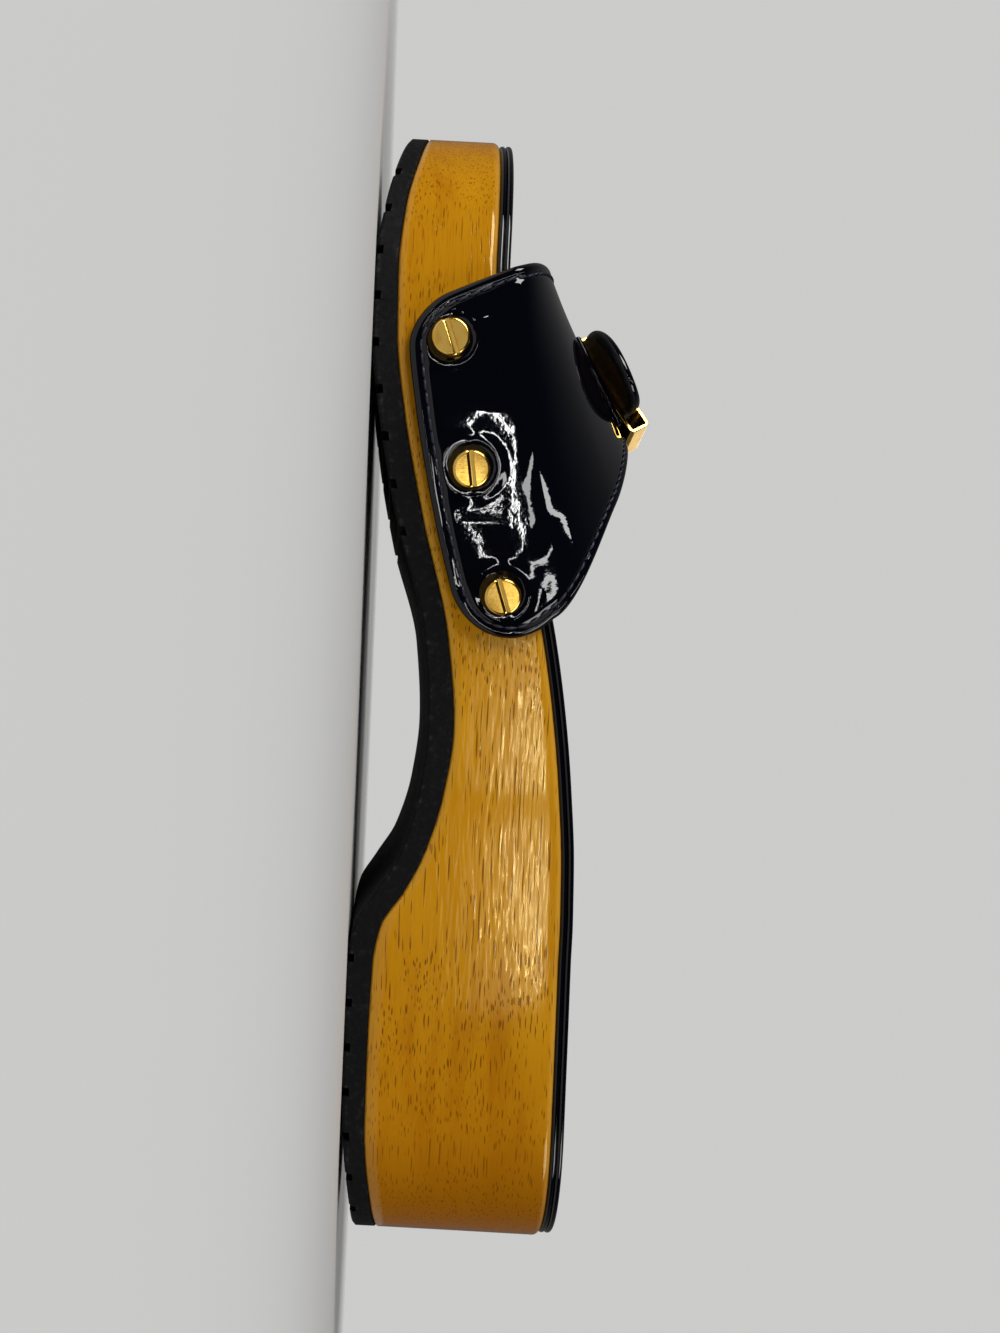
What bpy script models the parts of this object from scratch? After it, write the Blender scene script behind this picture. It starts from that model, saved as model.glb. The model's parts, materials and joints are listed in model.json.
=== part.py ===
"""Slide sandal: rubber outsole, carved wooden sole, covered insole, buckled leather band and slotted screws.

A right shoe in its own frame: +X runs to the toe, +Y to the inner (medial) side and +Z up. The floor is Z 0,
and the origin is in the middle of the length and the width. Tables and sizes are in millimetres. A station
is a distance along the shoe from the end of the heel.
"""
import math

import bpy
import numpy as np
from mathutils import Matrix, Vector

MM = 0.001
GAP = 0.3

# Driving sizes of the sole. MIDDLE is the station of the origin.
LENGTH = 252.0
HEEL_ROUND = 33.0
TOE_ROUND_MEDIAL = 48.0
TOE_ROUND_LATERAL = 84.0
TOE_TIP_Y = 6.0
ROUND_POWER = 2.2
WALL_FLARE = 0.02
HEEL_LEAN = 0.08
TOE_LEAN = 0.05
STATIONS = 56
MIDDLE = 126.0

# One row for each section of the sole. medial and lateral are the half widths of the deck, tread the underside,
# seam the line between rubber and wood, deck the wood's top edge and dish the hollow of the footbed.
SOLE_COLUMNS = ("station", "medial", "lateral", "tread", "seam", "deck", "dish")
SOLE_ROWS = (
    (0, 30.0, 29.0, 3.8, 9.0, 46.0, 0.6),
    (14, 31.0, 29.8, 2.4, 7.0, 45.8, 1.6),
    (33, 32.2, 30.4, 0.5, 5.1, 45.6, 2.6),
    (48, 32.2, 30.8, 0.0, 5.0, 45.6, 2.8),
    (68, 31.9, 31.6, 0.0, 5.4, 45.6, 2.6),
    (76, 31.8, 32.0, 1.2, 6.8, 45.7, 2.4),
    (83, 31.6, 32.5, 5.2, 11.3, 45.6, 2.2),
    (91, 31.4, 33.2, 10.0, 15.3, 45.4, 2.0),
    (104, 31.3, 34.6, 13.6, 19.0, 44.4, 1.8),
    (118, 31.8, 36.8, 15.0, 20.7, 42.8, 1.6),
    (138, 34.3, 40.6, 13.5, 18.6, 39.2, 1.6),
    (163, 40.0, 44.0, 6.4, 12.0, 32.3, 1.8),
    (185, 43.8, 44.4, 1.8, 7.1, 27.3, 1.8),
    (200, 44.3, 44.0, 0.0, 5.1, 25.4, 1.6),
    (214, 44.6, 43.2, 0.0, 4.8, 25.1, 1.4),
    (228, 44.4, 42.4, 1.6, 5.9, 25.4, 1.0),
    (240, 43.6, 41.4, 3.9, 8.2, 25.8, 0.6),
    (252, 42.6, 40.4, 6.8, 10.8, 26.2, 0.3),
)

WOOD_EDGE = 1.6
WOOD_EDGE_CUT = 0.3
WOOD_CHAMFER = 0.5
RUBBER_CHAMFER = 0.6
INSOLE_THICK = 2.6
INSOLE_INSET = 0.7
INSOLE_EDGE = 0.8

# Tread grooves across the outsole, in the heel and in the forefoot
GROOVE_WIDTH = 1.8
GROOVE_DEPTH = 1.4
GROOVE_PITCH = 9.5
HEEL_GROOVES = (12.0, 70.0)
FOREFOOT_GROOVES = (160.0, 242.0)

# The band, one row for its front edge and one for its rear edge. hem is the station of its lowest point on the
# wall, rim the station where it leaves the wall, arch the station half way up to the crest, and crest its highest
# point with that point's side and height.
BAND_COLUMNS = ("medial_hem", "medial_rim", "medial_arch", "crest", "crest_side", "crest_height",
                "lateral_arch", "lateral_rim", "lateral_hem")
BAND_ROWS = (
    (204.8, 214.4, 218.6, 221.0, 3.0, 36.9, 211.0, 201.0, 192.0),
    (131.5, 143.5, 168.6, 184.5, 2.0, 58.3, 161.0, 142.0, 134.0),
)
BAND_THICK = 2.4
HEM_MARGIN = 2.3
RIM_RISE = 3.0
HEM_FRONT_ROUND = 8.0
HEM_REAR_ROUND = 18.0
BAND_STRIPS = 13

# Places along the band: 0 medial hem, 1 medial rim, 1.5 arch, 2 crest, 2.5 arch, 3 lateral rim, 4 lateral hem
MARK_NAMES = ("medial_hem", "medial_rim", "medial_arch", "crest", "lateral_arch", "lateral_rim", "lateral_hem")
MARK_PLACES = (0.0, 1.0, 1.5, 2.0, 2.5, 3.0, 4.0)
MEDIAL_END = 2.80
STRAP_TIP = 1.78
SHOULDER = (2.28, 2.44)
CHAPE_REACH = (1.88, 2.20)
CHAPE_LIFT = 2.0
CHAPE_THICK = 1.7

# How far the outer half stands off the band's inner face along its way from the tip to the lateral hem
FLAP_COLUMNS = ("along", "lift")
FLAP_ROWS = (
    (1.78, 8.2),
    (1.93, 6.4),
    (2.06, 5.7),
    (2.25, 5.7),
    (2.45, 4.6),
    (2.65, 2.8),
    (2.76, 1.9),
    (3.10, 0.0),
    (4.00, 0.0),
)

# Places across the band: 0 front edge, 1 rear edge
STRAP_ACROSS = (0.345, 0.85)
CHAPE_ACROSS = (0.34, 0.86)
TIP_ROUND = 0.20

BUCKLE_PLACE = (2.10, 0.642)
BUCKLE_LIFT = 4.0
BUCKLE_WIDTH = 27.5
BUCKLE_LENGTH = 11.5
BUCKLE_HEIGHT = 5.5
BUCKLE_WALL = 0.9
WINDOW_WIDTH = 14.0
WINDOW_LENGTH = 7.5
BUCKLE_BEVEL = 0.5
PRONG_RADIUS = 0.6

# Screws: side, name, station, height and the turn of the slot in degrees
SCREW_COLUMNS = ("side", "name", "station", "height", "slot_turn")
SCREW_ROWS = (
    ("medial", "front", 199.1, 15.9, 20.0),
    ("medial", "middle", 173.5, 21.3, 9.0),
    ("medial", "rear", 148.1, 29.3, 19.0),
    ("lateral", "front", 186.5, 17.4, -14.0),
    ("lateral", "middle", 165.5, 22.4, 32.0),
    ("lateral", "rear", 145.0, 28.8, -8.0),
)
HEAD_RADIUS = 3.9
HEAD_HEIGHT = 2.0
HEAD_ROUND = 0.5
SLOT_WIDTH = 1.5
SLOT_DEPTH = 0.9
SHANK_RADIUS = 1.5
SHANK_IN_WOOD = 11.0
HOLE_PAST_BAND = 3.0
HOLE_PAST_SHANK = 1.0
SCREW_SIDES = 20

# Finishes: base colour, roughness, metallic
FINISH = {
    "rubber": ((0.018, 0.019, 0.020), 0.75, 0.0),
    "wood": ((0.50, 0.20, 0.045), 0.30, 0.0),
    "insole": ((0.010, 0.010, 0.012), 0.15, 0.0),
    "patent": ((0.010, 0.011, 0.016), 0.10, 0.0),
    "gold": ((0.72, 0.48, 0.20), 0.18, 1.0),
}


def columns(names, rows):
    """Name the columns of a table of rows."""
    return {name: np.array(values, dtype=float) for name, values in zip(names, zip(*rows))}


SOLE = columns(SOLE_COLUMNS, SOLE_ROWS)
BAND = columns(BAND_COLUMNS, BAND_ROWS)
FLAP = columns(FLAP_COLUMNS, FLAP_ROWS)


def smooth(knots, values, where):
    """Smooth curve through a table that never overshoots it: a cubic with limited slopes."""
    knots, values = np.asarray(knots, float), np.asarray(values, float)
    where = np.clip(where, knots[0], knots[-1])
    step = np.diff(knots)
    rise = np.diff(values) / step
    slope = np.zeros_like(values)
    slope[0], slope[-1] = rise[0], rise[-1]
    same_way = rise[:-1] * rise[1:] > 0
    total = np.where(same_way, rise[:-1] + rise[1:], 1.0)
    slope[1:-1] = np.where(same_way, 2.0 * rise[:-1] * rise[1:] / total, 0.0)
    left = np.clip(np.searchsorted(knots, where, side="right") - 1, 0, len(step) - 1)
    u = (where - knots[left]) / step[left]
    start = (1 + 2 * u) * (1 - u) ** 2 * values[left] + u * (1 - u) ** 2 * step[left] * slope[left]
    end = u ** 2 * (3 - 2 * u) * values[left + 1] + u ** 2 * (u - 1) * step[left] * slope[left + 1]
    return start + end


def sole(column, station):
    """Value of one column of the sole's table at a station."""
    return smooth(SOLE["station"], SOLE[column], station)


def closing(distance, reach):
    """How far a round end has opened, from 0 at its tip to 1 at its reach."""
    into = np.clip(1.0 - distance / reach, 0.0, 1.0)
    return (1.0 - into ** ROUND_POWER) ** (1.0 / ROUND_POWER)


def outline(side, station):
    """Y of the deck's outline on one side, rounded off at heel and toe."""
    sign = 1.0 if side == "medial" else -1.0
    toe_reach = TOE_ROUND_MEDIAL if side == "medial" else TOE_ROUND_LATERAL
    straight = sign * sole(side, station) * closing(station, HEEL_ROUND)
    return TOE_TIP_Y + (straight - TOE_TIP_Y) * closing(LENGTH - station, toe_reach)


def inward(side, station):
    """Unit direction in plan from the outline into the sole."""
    small = 0.02
    slope = (outline(side, station + small) - outline(side, station - small)) / (2 * small)
    sign = 1.0 if side == "medial" else -1.0
    length = np.sqrt(1.0 + slope ** 2)
    return sign * slope / length, -sign / length


def wall(side, station, height):
    """Y of the sole's side wall, which flares slightly towards the floor."""
    sign = 1.0 if side == "medial" else -1.0
    return outline(side, station) + sign * WALL_FLARE * (sole("deck", station) - height)


def lean(station, height):
    """How far the ends of the sole lean in below the deck, as a shift along the shoe."""
    to_heel = np.clip(1.0 - station / HEEL_ROUND, 0.0, 1.0) ** 2
    to_toe = np.clip(1.0 - (LENGTH - station) / HEEL_ROUND, 0.0, 1.0) ** 2
    return (HEEL_LEAN * to_heel - TOE_LEAN * to_toe) * (sole("deck", station) - height)


def world(station, y, z):
    """Points in metres in the shoe's frame."""
    station, y, z = np.broadcast_arrays(station, y, z)
    return np.stack([station - MIDDLE, y, z], axis=-1) * MM


# Blender helpers
def make_collection(name):
    collection = bpy.data.collections.new(name)
    bpy.context.scene.collection.children.link(collection)
    return collection


def make_material(name, finish):
    colour, roughness, metallic = FINISH[finish]
    material = bpy.data.materials.new(name)
    material.use_nodes = True
    shader = material.node_tree.nodes["Principled BSDF"]
    shader.inputs["Base Color"].default_value = (*colour, 1.0)
    shader.inputs["Roughness"].default_value = roughness
    shader.inputs["Metallic"].default_value = metallic
    return material


def make_object(name, vertices, faces, collection):
    """Mesh object from an array of points and a list of faces."""
    mesh = bpy.data.meshes.new(name)
    mesh.from_pydata(np.asarray(vertices).reshape(-1, 3).tolist(), [], faces)
    mesh.validate()
    thing = bpy.data.objects.new(name, mesh)
    collection.objects.link(thing)
    return thing


def finish_part(thing, finish, smooth_angle=35.0):
    thing.data.materials.append(make_material(thing.name, finish))
    thing.data.shade_smooth()
    thing.data.set_sharp_from_angle(angle=math.radians(smooth_angle))
    return thing


def hide_cutter(thing):
    thing.hide_render = True
    thing.display_type = "WIRE"
    return thing


def boolean(thing, other, operation):
    modifier = thing.modifiers.new(f"{operation.lower()} {other.name}", "BOOLEAN")
    modifier.operation = operation
    modifier.object = other
    modifier.solver = "EXACT"
    return modifier


def loft(name, rings, collection):
    """Skin a row of closed rings, all with the same number of points, and close both ends."""
    count, size = rings.shape[:2]
    faces = []
    for ring in range(count - 1):
        for point in range(size):
            following = (point + 1) % size
            here, ahead = ring * size, (ring + 1) * size
            faces.append((here + point, here + following, ahead + following, ahead + point))
    faces.append(tuple(reversed(range(size))))
    faces.append(tuple(range((count - 1) * size, count * size)))
    return make_object(name, rings, faces, collection)


def shell(name, grid, thickness, collection):
    """Open surface over a grid of points, thickened outwards with Solidify."""
    rows, across = grid.shape[:2]
    faces = []
    for row in range(rows - 1):
        for strip in range(across - 1):
            first = row * across + strip
            faces.append((first, first + 1, first + across + 1, first + across))
    thing = make_object(name, grid, faces, collection)
    solidify = thing.modifiers.new("thickness", "SOLIDIFY")
    solidify.thickness = thickness * MM
    solidify.offset = 1.0
    solidify.use_even_offset = False
    return thing


# The three layers of the sole
def end_spaced_stations():
    """Stations that crowd towards heel and toe, where the outline turns."""
    turn = math.pi * (np.arange(STATIONS) + 0.7) / (STATIONS + 0.4)
    return LENGTH * (0.5 - 0.5 * np.cos(turn))


def sole_layer(name, edge, lower, upper, spans, collection):
    """Loft one layer of the sole.

    edge lists the profile of its side from bottom to top as functions (inset, height) of the station. lower and
    upper give the height of its faces at a station and a place across from -1 to 1, and spans the number of
    strips across each face.
    """
    rings = []
    for station in end_spaced_stations():
        sides = {}
        for side in ("lateral", "medial"):
            to_x, to_y = inward(side, station)
            sides[side] = []
            for inset, height in edge:
                depth, level = inset(station), height(station)
                x = station + depth * to_x + lean(station, level)
                sides[side].append(np.array((x, outline(side, station) + depth * to_y, level)))
        ring = face_points(sides["lateral"][0], sides["medial"][0], lower, spans[0])
        ring += sides["medial"][1:-1]
        ring += face_points(sides["medial"][-1], sides["lateral"][-1], upper, spans[1])
        ring += sides["lateral"][-2:0:-1]
        rings.append(ring)
    points = np.array(rings)
    return loft(name, world(points[..., 0], points[..., 1], points[..., 2]), collection)


def face_points(start, end, height, spans):
    """Points across one face of a layer, whose ends keep the heights of the edge."""
    points = []
    for share in np.linspace(0.0, 1.0, spans + 1):
        place = start + (end - start) * share
        sag = height(place[0], 2.0 * share - 1.0)
        points.append(np.array([place[0], place[1], place[2] + sag]))
    return points


def no_sag(station, across):
    return 0.0


def dish_sag(station, across):
    """The footbed's hollow: deepest along the middle, nothing at the edge."""
    return -sole("dish", station) * (1.0 - across ** 2)


def fixed(value):
    return lambda station: value


def above(column, rise):
    return lambda station: sole(column, station) + rise


def flare_at(column):
    """Inset that carries the wall's flare down to one of the table's heights."""
    return lambda station: -WALL_FLARE * (sole("deck", station) - sole(column, station))


def make_wood_sole(collection):
    edge = (
        (lambda station: flare_at("seam")(station) + WOOD_CHAMFER, above("seam", 0.0)),
        (flare_at("seam"), above("seam", WOOD_CHAMFER)),
        (fixed(0.0), above("deck", -WOOD_EDGE)),
        (fixed(WOOD_EDGE_CUT * WOOD_EDGE), above("deck", -WOOD_EDGE_CUT * WOOD_EDGE)),
        (fixed(WOOD_EDGE), above("deck", 0.0)),
    )
    return sole_layer("wood_sole", edge, no_sag, dish_sag, (2, 6), collection)


def make_insole(collection):
    top = GAP + INSOLE_THICK
    edge = (
        (fixed(INSOLE_INSET + INSOLE_EDGE + WOOD_EDGE), above("deck", GAP)),
        (fixed(INSOLE_INSET), above("deck", GAP + INSOLE_EDGE)),
        (fixed(INSOLE_INSET), above("deck", top - INSOLE_EDGE)),
        (fixed(INSOLE_INSET + INSOLE_EDGE), above("deck", top)),
    )
    return sole_layer("insole", edge, dish_sag, dish_sag, (6, 6), collection)


def make_outsole(collection, cutters):
    edge = (
        (lambda station: flare_at("tread")(station) + RUBBER_CHAMFER, above("tread", 0.0)),
        (flare_at("tread"), above("tread", RUBBER_CHAMFER)),
        (flare_at("seam"), above("seam", -GAP)),
    )
    outsole = sole_layer("outsole", edge, no_sag, no_sag, (2, 2), collection)
    boolean(outsole, make_grooves(cutters), "DIFFERENCE")
    return outsole


def make_grooves(cutters):
    """Bars across the underside, each turned to lie along the tread where it cuts."""
    vertices, faces = [], []
    for first, last in (HEEL_GROOVES, FOREFOOT_GROOVES):
        count = int((last - first) / GROOVE_PITCH) + 1
        for station in first + GROOVE_PITCH * np.arange(count):
            bar_vertices, bar_faces = groove_bar(station)
            faces += [tuple(index + len(vertices) for index in face) for face in bar_faces]
            vertices += bar_vertices
    return hide_cutter(make_object("tread_grooves", np.array(vertices) * MM, faces, cutters))


def groove_bar(station):
    """One straight bar, as corners and faces, that leaves a groove of the set width and depth."""
    reach = 60.0
    below = 3.0
    slope = float(sole("tread", station + 1.0) - sole("tread", station - 1.0)) / 2.0
    along = Vector((1.0, 0.0, slope)).normalized()
    up = Vector((-along.z, 0.0, along.x))
    middle = Vector((station - MIDDLE, 0.0, float(sole("tread", station))))
    corners = []
    for y in (-reach, reach):
        for width, height in ((-0.5, -below), (0.5, -below), (0.5, GROOVE_DEPTH), (-0.5, GROOVE_DEPTH)):
            corner = middle + along * (width * GROOVE_WIDTH) + up * height
            corners.append((corner.x, y, corner.z))
    faces = [(0, 1, 2, 3), (7, 6, 5, 4)]
    faces += [(side, side + 4, (side + 1) % 4 + 4, (side + 1) % 4) for side in range(4)]
    return corners, faces


# The band over the instep
def across_band(column, across):
    """Value of one column of the band's table between its front and rear edge."""
    front, rear = BAND[column]
    return front + (rear - front) * across


def band_point(along, across):
    """Inner face of the band as (station, y, z).

    along runs from the medial hem over the crest to the lateral hem. Up to each rim the band lies on the wall.
    Between the rims it is half an oval, and its stations follow a smooth curve through the marks of its table.
    """
    along, across = np.broadcast_arrays(np.asarray(along, float), np.asarray(across, float))
    place = np.empty(along.shape + (3,))
    for index in np.ndindex(along.shape):
        place[index] = band_point_at(along[index], across[index])
    return place


def band_point_at(along, across):
    station = smooth(MARK_PLACES, [across_band(name, across) for name in MARK_NAMES], along)
    side = "medial" if along <= 2.0 else "lateral"
    from_hem = along if along <= 2.0 else 4.0 - along
    hem_station = across_band(f"{side}_hem", across)
    rim_station = across_band(f"{side}_rim", across)
    hem_height = sole("seam", hem_station) + HEM_MARGIN
    rim_height = sole("deck", rim_station) + RIM_RISE
    outward = GAP if side == "medial" else -GAP
    if from_hem <= 1.0:
        height = hem_height + (rim_height - hem_height) * from_hem
        return station, wall(side, station, height) + outward, height
    turn = 0.5 * math.pi * (from_hem - 1.0)
    rim_y = wall(side, rim_station, rim_height) + outward
    crest_y = across_band("crest_side", across)
    height = rim_height + (across_band("crest_height", across) - rim_height) * math.sin(turn)
    return station, crest_y + (rim_y - crest_y) * math.cos(turn), height


def band_normal(along, across):
    """Outward unit normal of the band."""
    small = 0.01
    lengthwise = band_point(along + small, across) - band_point(along - small, across)
    crosswise = band_point(along, across + small) - band_point(along, across - small)
    normal = np.cross(crosswise, lengthwise)
    return normal / np.linalg.norm(normal, axis=-1, keepdims=True)


def lifted(along, across, lift):
    """Points of the band raised off its inner face, in metres."""
    place = band_point(along, across) + band_normal(along, across) * np.asarray(lift)[..., None]
    return world(place[..., 0], place[..., 1], place[..., 2])


def hem_start(side, across):
    """Where a strip starts, so that the two lower corners of the band are round."""
    hem = BAND[f"{side}_hem"]
    from_front = across * abs(hem[1] - hem[0])
    from_rear = (1.0 - across) * abs(hem[1] - hem[0])
    rise = np.maximum(corner_rise(from_front, HEM_FRONT_ROUND), corner_rise(from_rear, HEM_REAR_ROUND))
    rim_height = sole("deck", across_band(f"{side}_rim", across)) + RIM_RISE
    hem_height = sole("seam", across_band(f"{side}_hem", across)) + HEM_MARGIN
    return rise / (rim_height - hem_height)


def corner_rise(distance, radius):
    """Height of a quarter round at a distance from its upright side."""
    into = np.clip(radius - distance, 0.0, radius)
    return radius - np.sqrt(radius ** 2 - into ** 2)


def strip_places():
    """Places across the band, closer together near both edges."""
    return 0.5 - 0.5 * np.cos(np.pi * np.linspace(0.0, 1.0, BAND_STRIPS))


def make_medial_band(collection):
    across = strip_places()
    rows = []
    for share in np.linspace(0.0, 1.0, 5)[:-1]:
        start = hem_start("medial", across)
        rows.append(start + (1.0 - start) * share)
    for along in np.linspace(1.0, MEDIAL_END, 23):
        rows.append(np.full_like(across, along))
    along = np.array(rows)
    grid = lifted(along, np.broadcast_to(across, along.shape), np.zeros(along.shape))
    return shell("upper", grid, BAND_THICK, collection)


def make_lateral_band(cutters):
    """The outer half: it lies over the medial half, then narrows to the strap that ends in a round tip."""
    share = strip_places()
    tip = STRAP_TIP + TIP_ROUND * (1.0 - np.sqrt(1.0 - (2.0 * share - 1.0) ** 2))
    rows = []
    for part in np.linspace(0.0, 1.0, 5)[:-1]:
        start = hem_start("lateral", share)
        rows.append(4.0 - start - (1.0 - start) * part)
    for along in np.linspace(3.0, SHOULDER[1], 11)[:-1]:
        rows.append(np.full_like(share, along))
    for along in np.linspace(SHOULDER[1], SHOULDER[0], 5)[:-1]:
        rows.append(np.full_like(share, along))
    for part in np.linspace(0.0, 1.0, 9):
        rows.append(SHOULDER[0] + (tip - SHOULDER[0]) * part)
    along = np.array(rows)
    front, rear = strap_edges(along)
    across = front + (rear - front) * share
    grid = lifted(along, across, smooth(FLAP["along"], FLAP["lift"], along))
    return hide_cutter(shell("lateral_band", grid[::-1], BAND_THICK, cutters))


def strap_edges(along):
    """Front and rear edge of the lateral half: full width on the flap, round shoulders, then the strap."""
    into = np.clip((SHOULDER[1] - along) / (SHOULDER[1] - SHOULDER[0]), 0.0, 1.0)
    narrowing = 1.0 - np.sqrt(1.0 - into ** 2)
    return STRAP_ACROSS[0] * narrowing, 1.0 + (STRAP_ACROSS[1] - 1.0) * narrowing


def make_chape(cutters):
    """The folded layer of leather under the buckle."""
    along = np.linspace(*CHAPE_REACH, 7)[:, None]
    across = np.linspace(*CHAPE_ACROSS, 5)[None, :]
    along, across = np.broadcast_arrays(along, across)
    grid = lifted(along, across, np.full(along.shape, CHAPE_LIFT))
    return hide_cutter(shell("chape", grid, CHAPE_THICK, cutters))


def make_upper(collection, cutters):
    upper = make_medial_band(collection)
    boolean(upper, make_lateral_band(cutters), "UNION")
    boolean(upper, make_chape(cutters), "UNION")
    return upper


# Buckle
def band_frame(along, across, lift):
    """Placement on the band: X across it to the heel, Y along it to the lateral side, Z outwards."""
    outwards = Vector(band_normal(along, across))
    small = 0.05
    ahead = Vector(band_point(along + small, across)) - Vector(band_point(along - small, across))
    lengthwise = (ahead - outwards * ahead.dot(outwards)).normalized()
    rearwards = lengthwise.cross(outwards)
    frame = Matrix((rearwards, lengthwise, outwards)).transposed().to_4x4()
    frame.translation = Vector(lifted(along, across, lift))
    return frame


def make_box(name, size, middle, collection):
    corners = [(x, y, z) for z in (-0.5, 0.5) for y in (-0.5, 0.5) for x in (-0.5, 0.5)]
    vertices = (np.array(corners) * np.array(size) + np.array(middle)) * MM
    faces = [(0, 2, 3, 1), (4, 5, 7, 6), (0, 1, 5, 4), (2, 6, 7, 3), (0, 4, 6, 2), (1, 3, 7, 5)]
    return make_object(name, vertices, faces, collection)


def make_buckle(collection, cutters):
    """A box frame that the strap runs through, with a window in its top where the prong lies."""
    place = band_frame(*BUCKLE_PLACE, BUCKLE_LIFT)
    half = BUCKLE_HEIGHT / 2
    frame = make_box("buckle_frame", (BUCKLE_WIDTH, BUCKLE_LENGTH, BUCKLE_HEIGHT), (0, 0, half), collection)
    inside = (BUCKLE_WIDTH - 2 * BUCKLE_WALL, 2 * BUCKLE_LENGTH, BUCKLE_HEIGHT - 2 * BUCKLE_WALL)
    tunnel = hide_cutter(make_box("buckle_tunnel", inside, (0, 0, half), cutters))
    window_size = (WINDOW_WIDTH, WINDOW_LENGTH, BUCKLE_HEIGHT)
    window = hide_cutter(make_box("buckle_window", window_size, (0, 0, BUCKLE_HEIGHT), cutters))
    bevel = frame.modifiers.new("soft corners", "BEVEL")
    bevel.width = BUCKLE_BEVEL * MM
    bevel.segments = 2
    boolean(frame, tunnel, "DIFFERENCE")
    boolean(frame, window, "DIFFERENCE")
    for thing in (frame, tunnel, window):
        thing.matrix_world = place
    prong_length = WINDOW_LENGTH - 2 * GAP
    bpy.ops.mesh.primitive_cylinder_add(vertices=12, radius=PRONG_RADIUS * MM, depth=prong_length * MM)
    prong = bpy.context.object
    prong.name = "buckle_prong"
    prong.data.name = prong.name
    move_to(prong, collection)
    rise = (BUCKLE_HEIGHT - PRONG_RADIUS) * MM
    prong.matrix_world = place @ Matrix.Translation((0, 0, rise)) @ Matrix.Rotation(math.pi / 2, 4, "X")
    return frame, prong


def move_to(thing, collection):
    for holder in list(thing.users_collection):
        holder.objects.unlink(thing)
    collection.objects.link(thing)


# Screws
def wall_frame(side, station, height):
    """Placement on the wall: Z outwards, Y upwards as near as the wall allows."""
    to_x, to_y = inward(side, station)
    outwards = Vector((-to_x, -to_y, WALL_FLARE)).normalized()
    upwards = (Vector((0, 0, 1)) - outwards * outwards.z).normalized()
    frame = Matrix((upwards.cross(outwards), upwards, outwards)).transposed().to_4x4()
    frame.translation = Vector(world(station, wall(side, station, height), height))
    return frame


def turned(name, profile, collection):
    """Solid of revolution about Z: a profile of (radius, height) from the top down, with a Screw modifier."""
    points = [(radius, 0.0, height) for radius, height in profile]
    edges = [(index, index + 1) for index in range(len(points) - 1)]
    mesh = bpy.data.meshes.new(name)
    mesh.from_pydata((np.array(points) * MM).tolist(), edges, [])
    thing = bpy.data.objects.new(name, mesh)
    collection.objects.link(thing)
    screw = thing.modifiers.new("turn", "SCREW")
    screw.steps = SCREW_SIDES
    screw.render_steps = SCREW_SIDES
    screw.use_merge_vertices = True
    screw.merge_threshold = 0.00001
    return thing


def make_screw(row, collection, cutters):
    """A slotted screw through the band into the wood. Its local Z 0 is on the wall."""
    screw = dict(zip(SCREW_COLUMNS, row))
    seat = GAP + BAND_THICK + GAP
    top = seat + HEAD_HEIGHT
    profile = (
        (0.0, top),
        (HEAD_RADIUS - HEAD_ROUND, top),
        (HEAD_RADIUS, top - HEAD_ROUND),
        (HEAD_RADIUS, seat),
        (SHANK_RADIUS, seat),
        (SHANK_RADIUS, -SHANK_IN_WOOD),
        (0.0, -SHANK_IN_WOOD),
    )
    name = f"screw_{screw['side']}_{screw['name']}"
    thing = turned(name, profile, collection)
    slot_size = (3 * HEAD_RADIUS, SLOT_WIDTH, 2 * SLOT_DEPTH)
    slot = hide_cutter(make_box(f"slot_{name}", slot_size, (0, 0, top), cutters))
    boolean(thing, slot, "DIFFERENCE")
    place = wall_frame(screw["side"], screw["station"], screw["height"])
    thing.matrix_world = place
    slot.matrix_world = place @ Matrix.Rotation(math.radians(screw["slot_turn"]), 4, "Z")
    return thing


def make_screw_hole(row, cutters):
    """Cutter for one screw's hole in band and wood, wider than the shank by the gap."""
    screw = dict(zip(SCREW_COLUMNS, row))
    past_band = GAP + BAND_THICK + HOLE_PAST_BAND
    bottom = SHANK_IN_WOOD + HOLE_PAST_SHANK
    radius = SHANK_RADIUS + GAP
    profile = ((0.0, past_band), (radius, past_band), (radius, -bottom), (0.0, -bottom))
    hole = hide_cutter(turned(f"hole_{screw['side']}_{screw['name']}", profile, cutters))
    hole.matrix_world = wall_frame(screw["side"], screw["station"], screw["height"])
    return hole


def main():
    for thing in list(bpy.data.objects):
        bpy.data.objects.remove(thing, do_unlink=True)
    parts = make_collection("slide_sandal")
    cutters = make_collection("cutters")
    wood_sole = make_wood_sole(parts)
    upper = make_upper(parts, cutters)
    for row in SCREW_ROWS:
        hole = make_screw_hole(row, cutters)
        boolean(wood_sole, hole, "DIFFERENCE")
        boolean(upper, hole, "DIFFERENCE")
    finish_part(wood_sole, "wood")
    finish_part(upper, "patent")
    finish_part(make_outsole(parts, cutters), "rubber")
    finish_part(make_insole(parts), "insole")
    for thing in make_buckle(parts, cutters):
        finish_part(thing, "gold")
    for row in SCREW_ROWS:
        finish_part(make_screw(row, parts, cutters), "gold")


main()
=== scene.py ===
"""Looks of the slide sandal, laid out as a Blender add-on and run as a script.

The shapes are worked out in millimetres in the shoe's frame: a station runs from the end of the heel to the
toe, Y to the inner (medial) side and Z up from the floor. Every piece is a surface over a grid of two
parameters.
"""
import json
import math

import bmesh
import bpy
import numpy as np
from mathutils import Matrix, Vector

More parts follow.
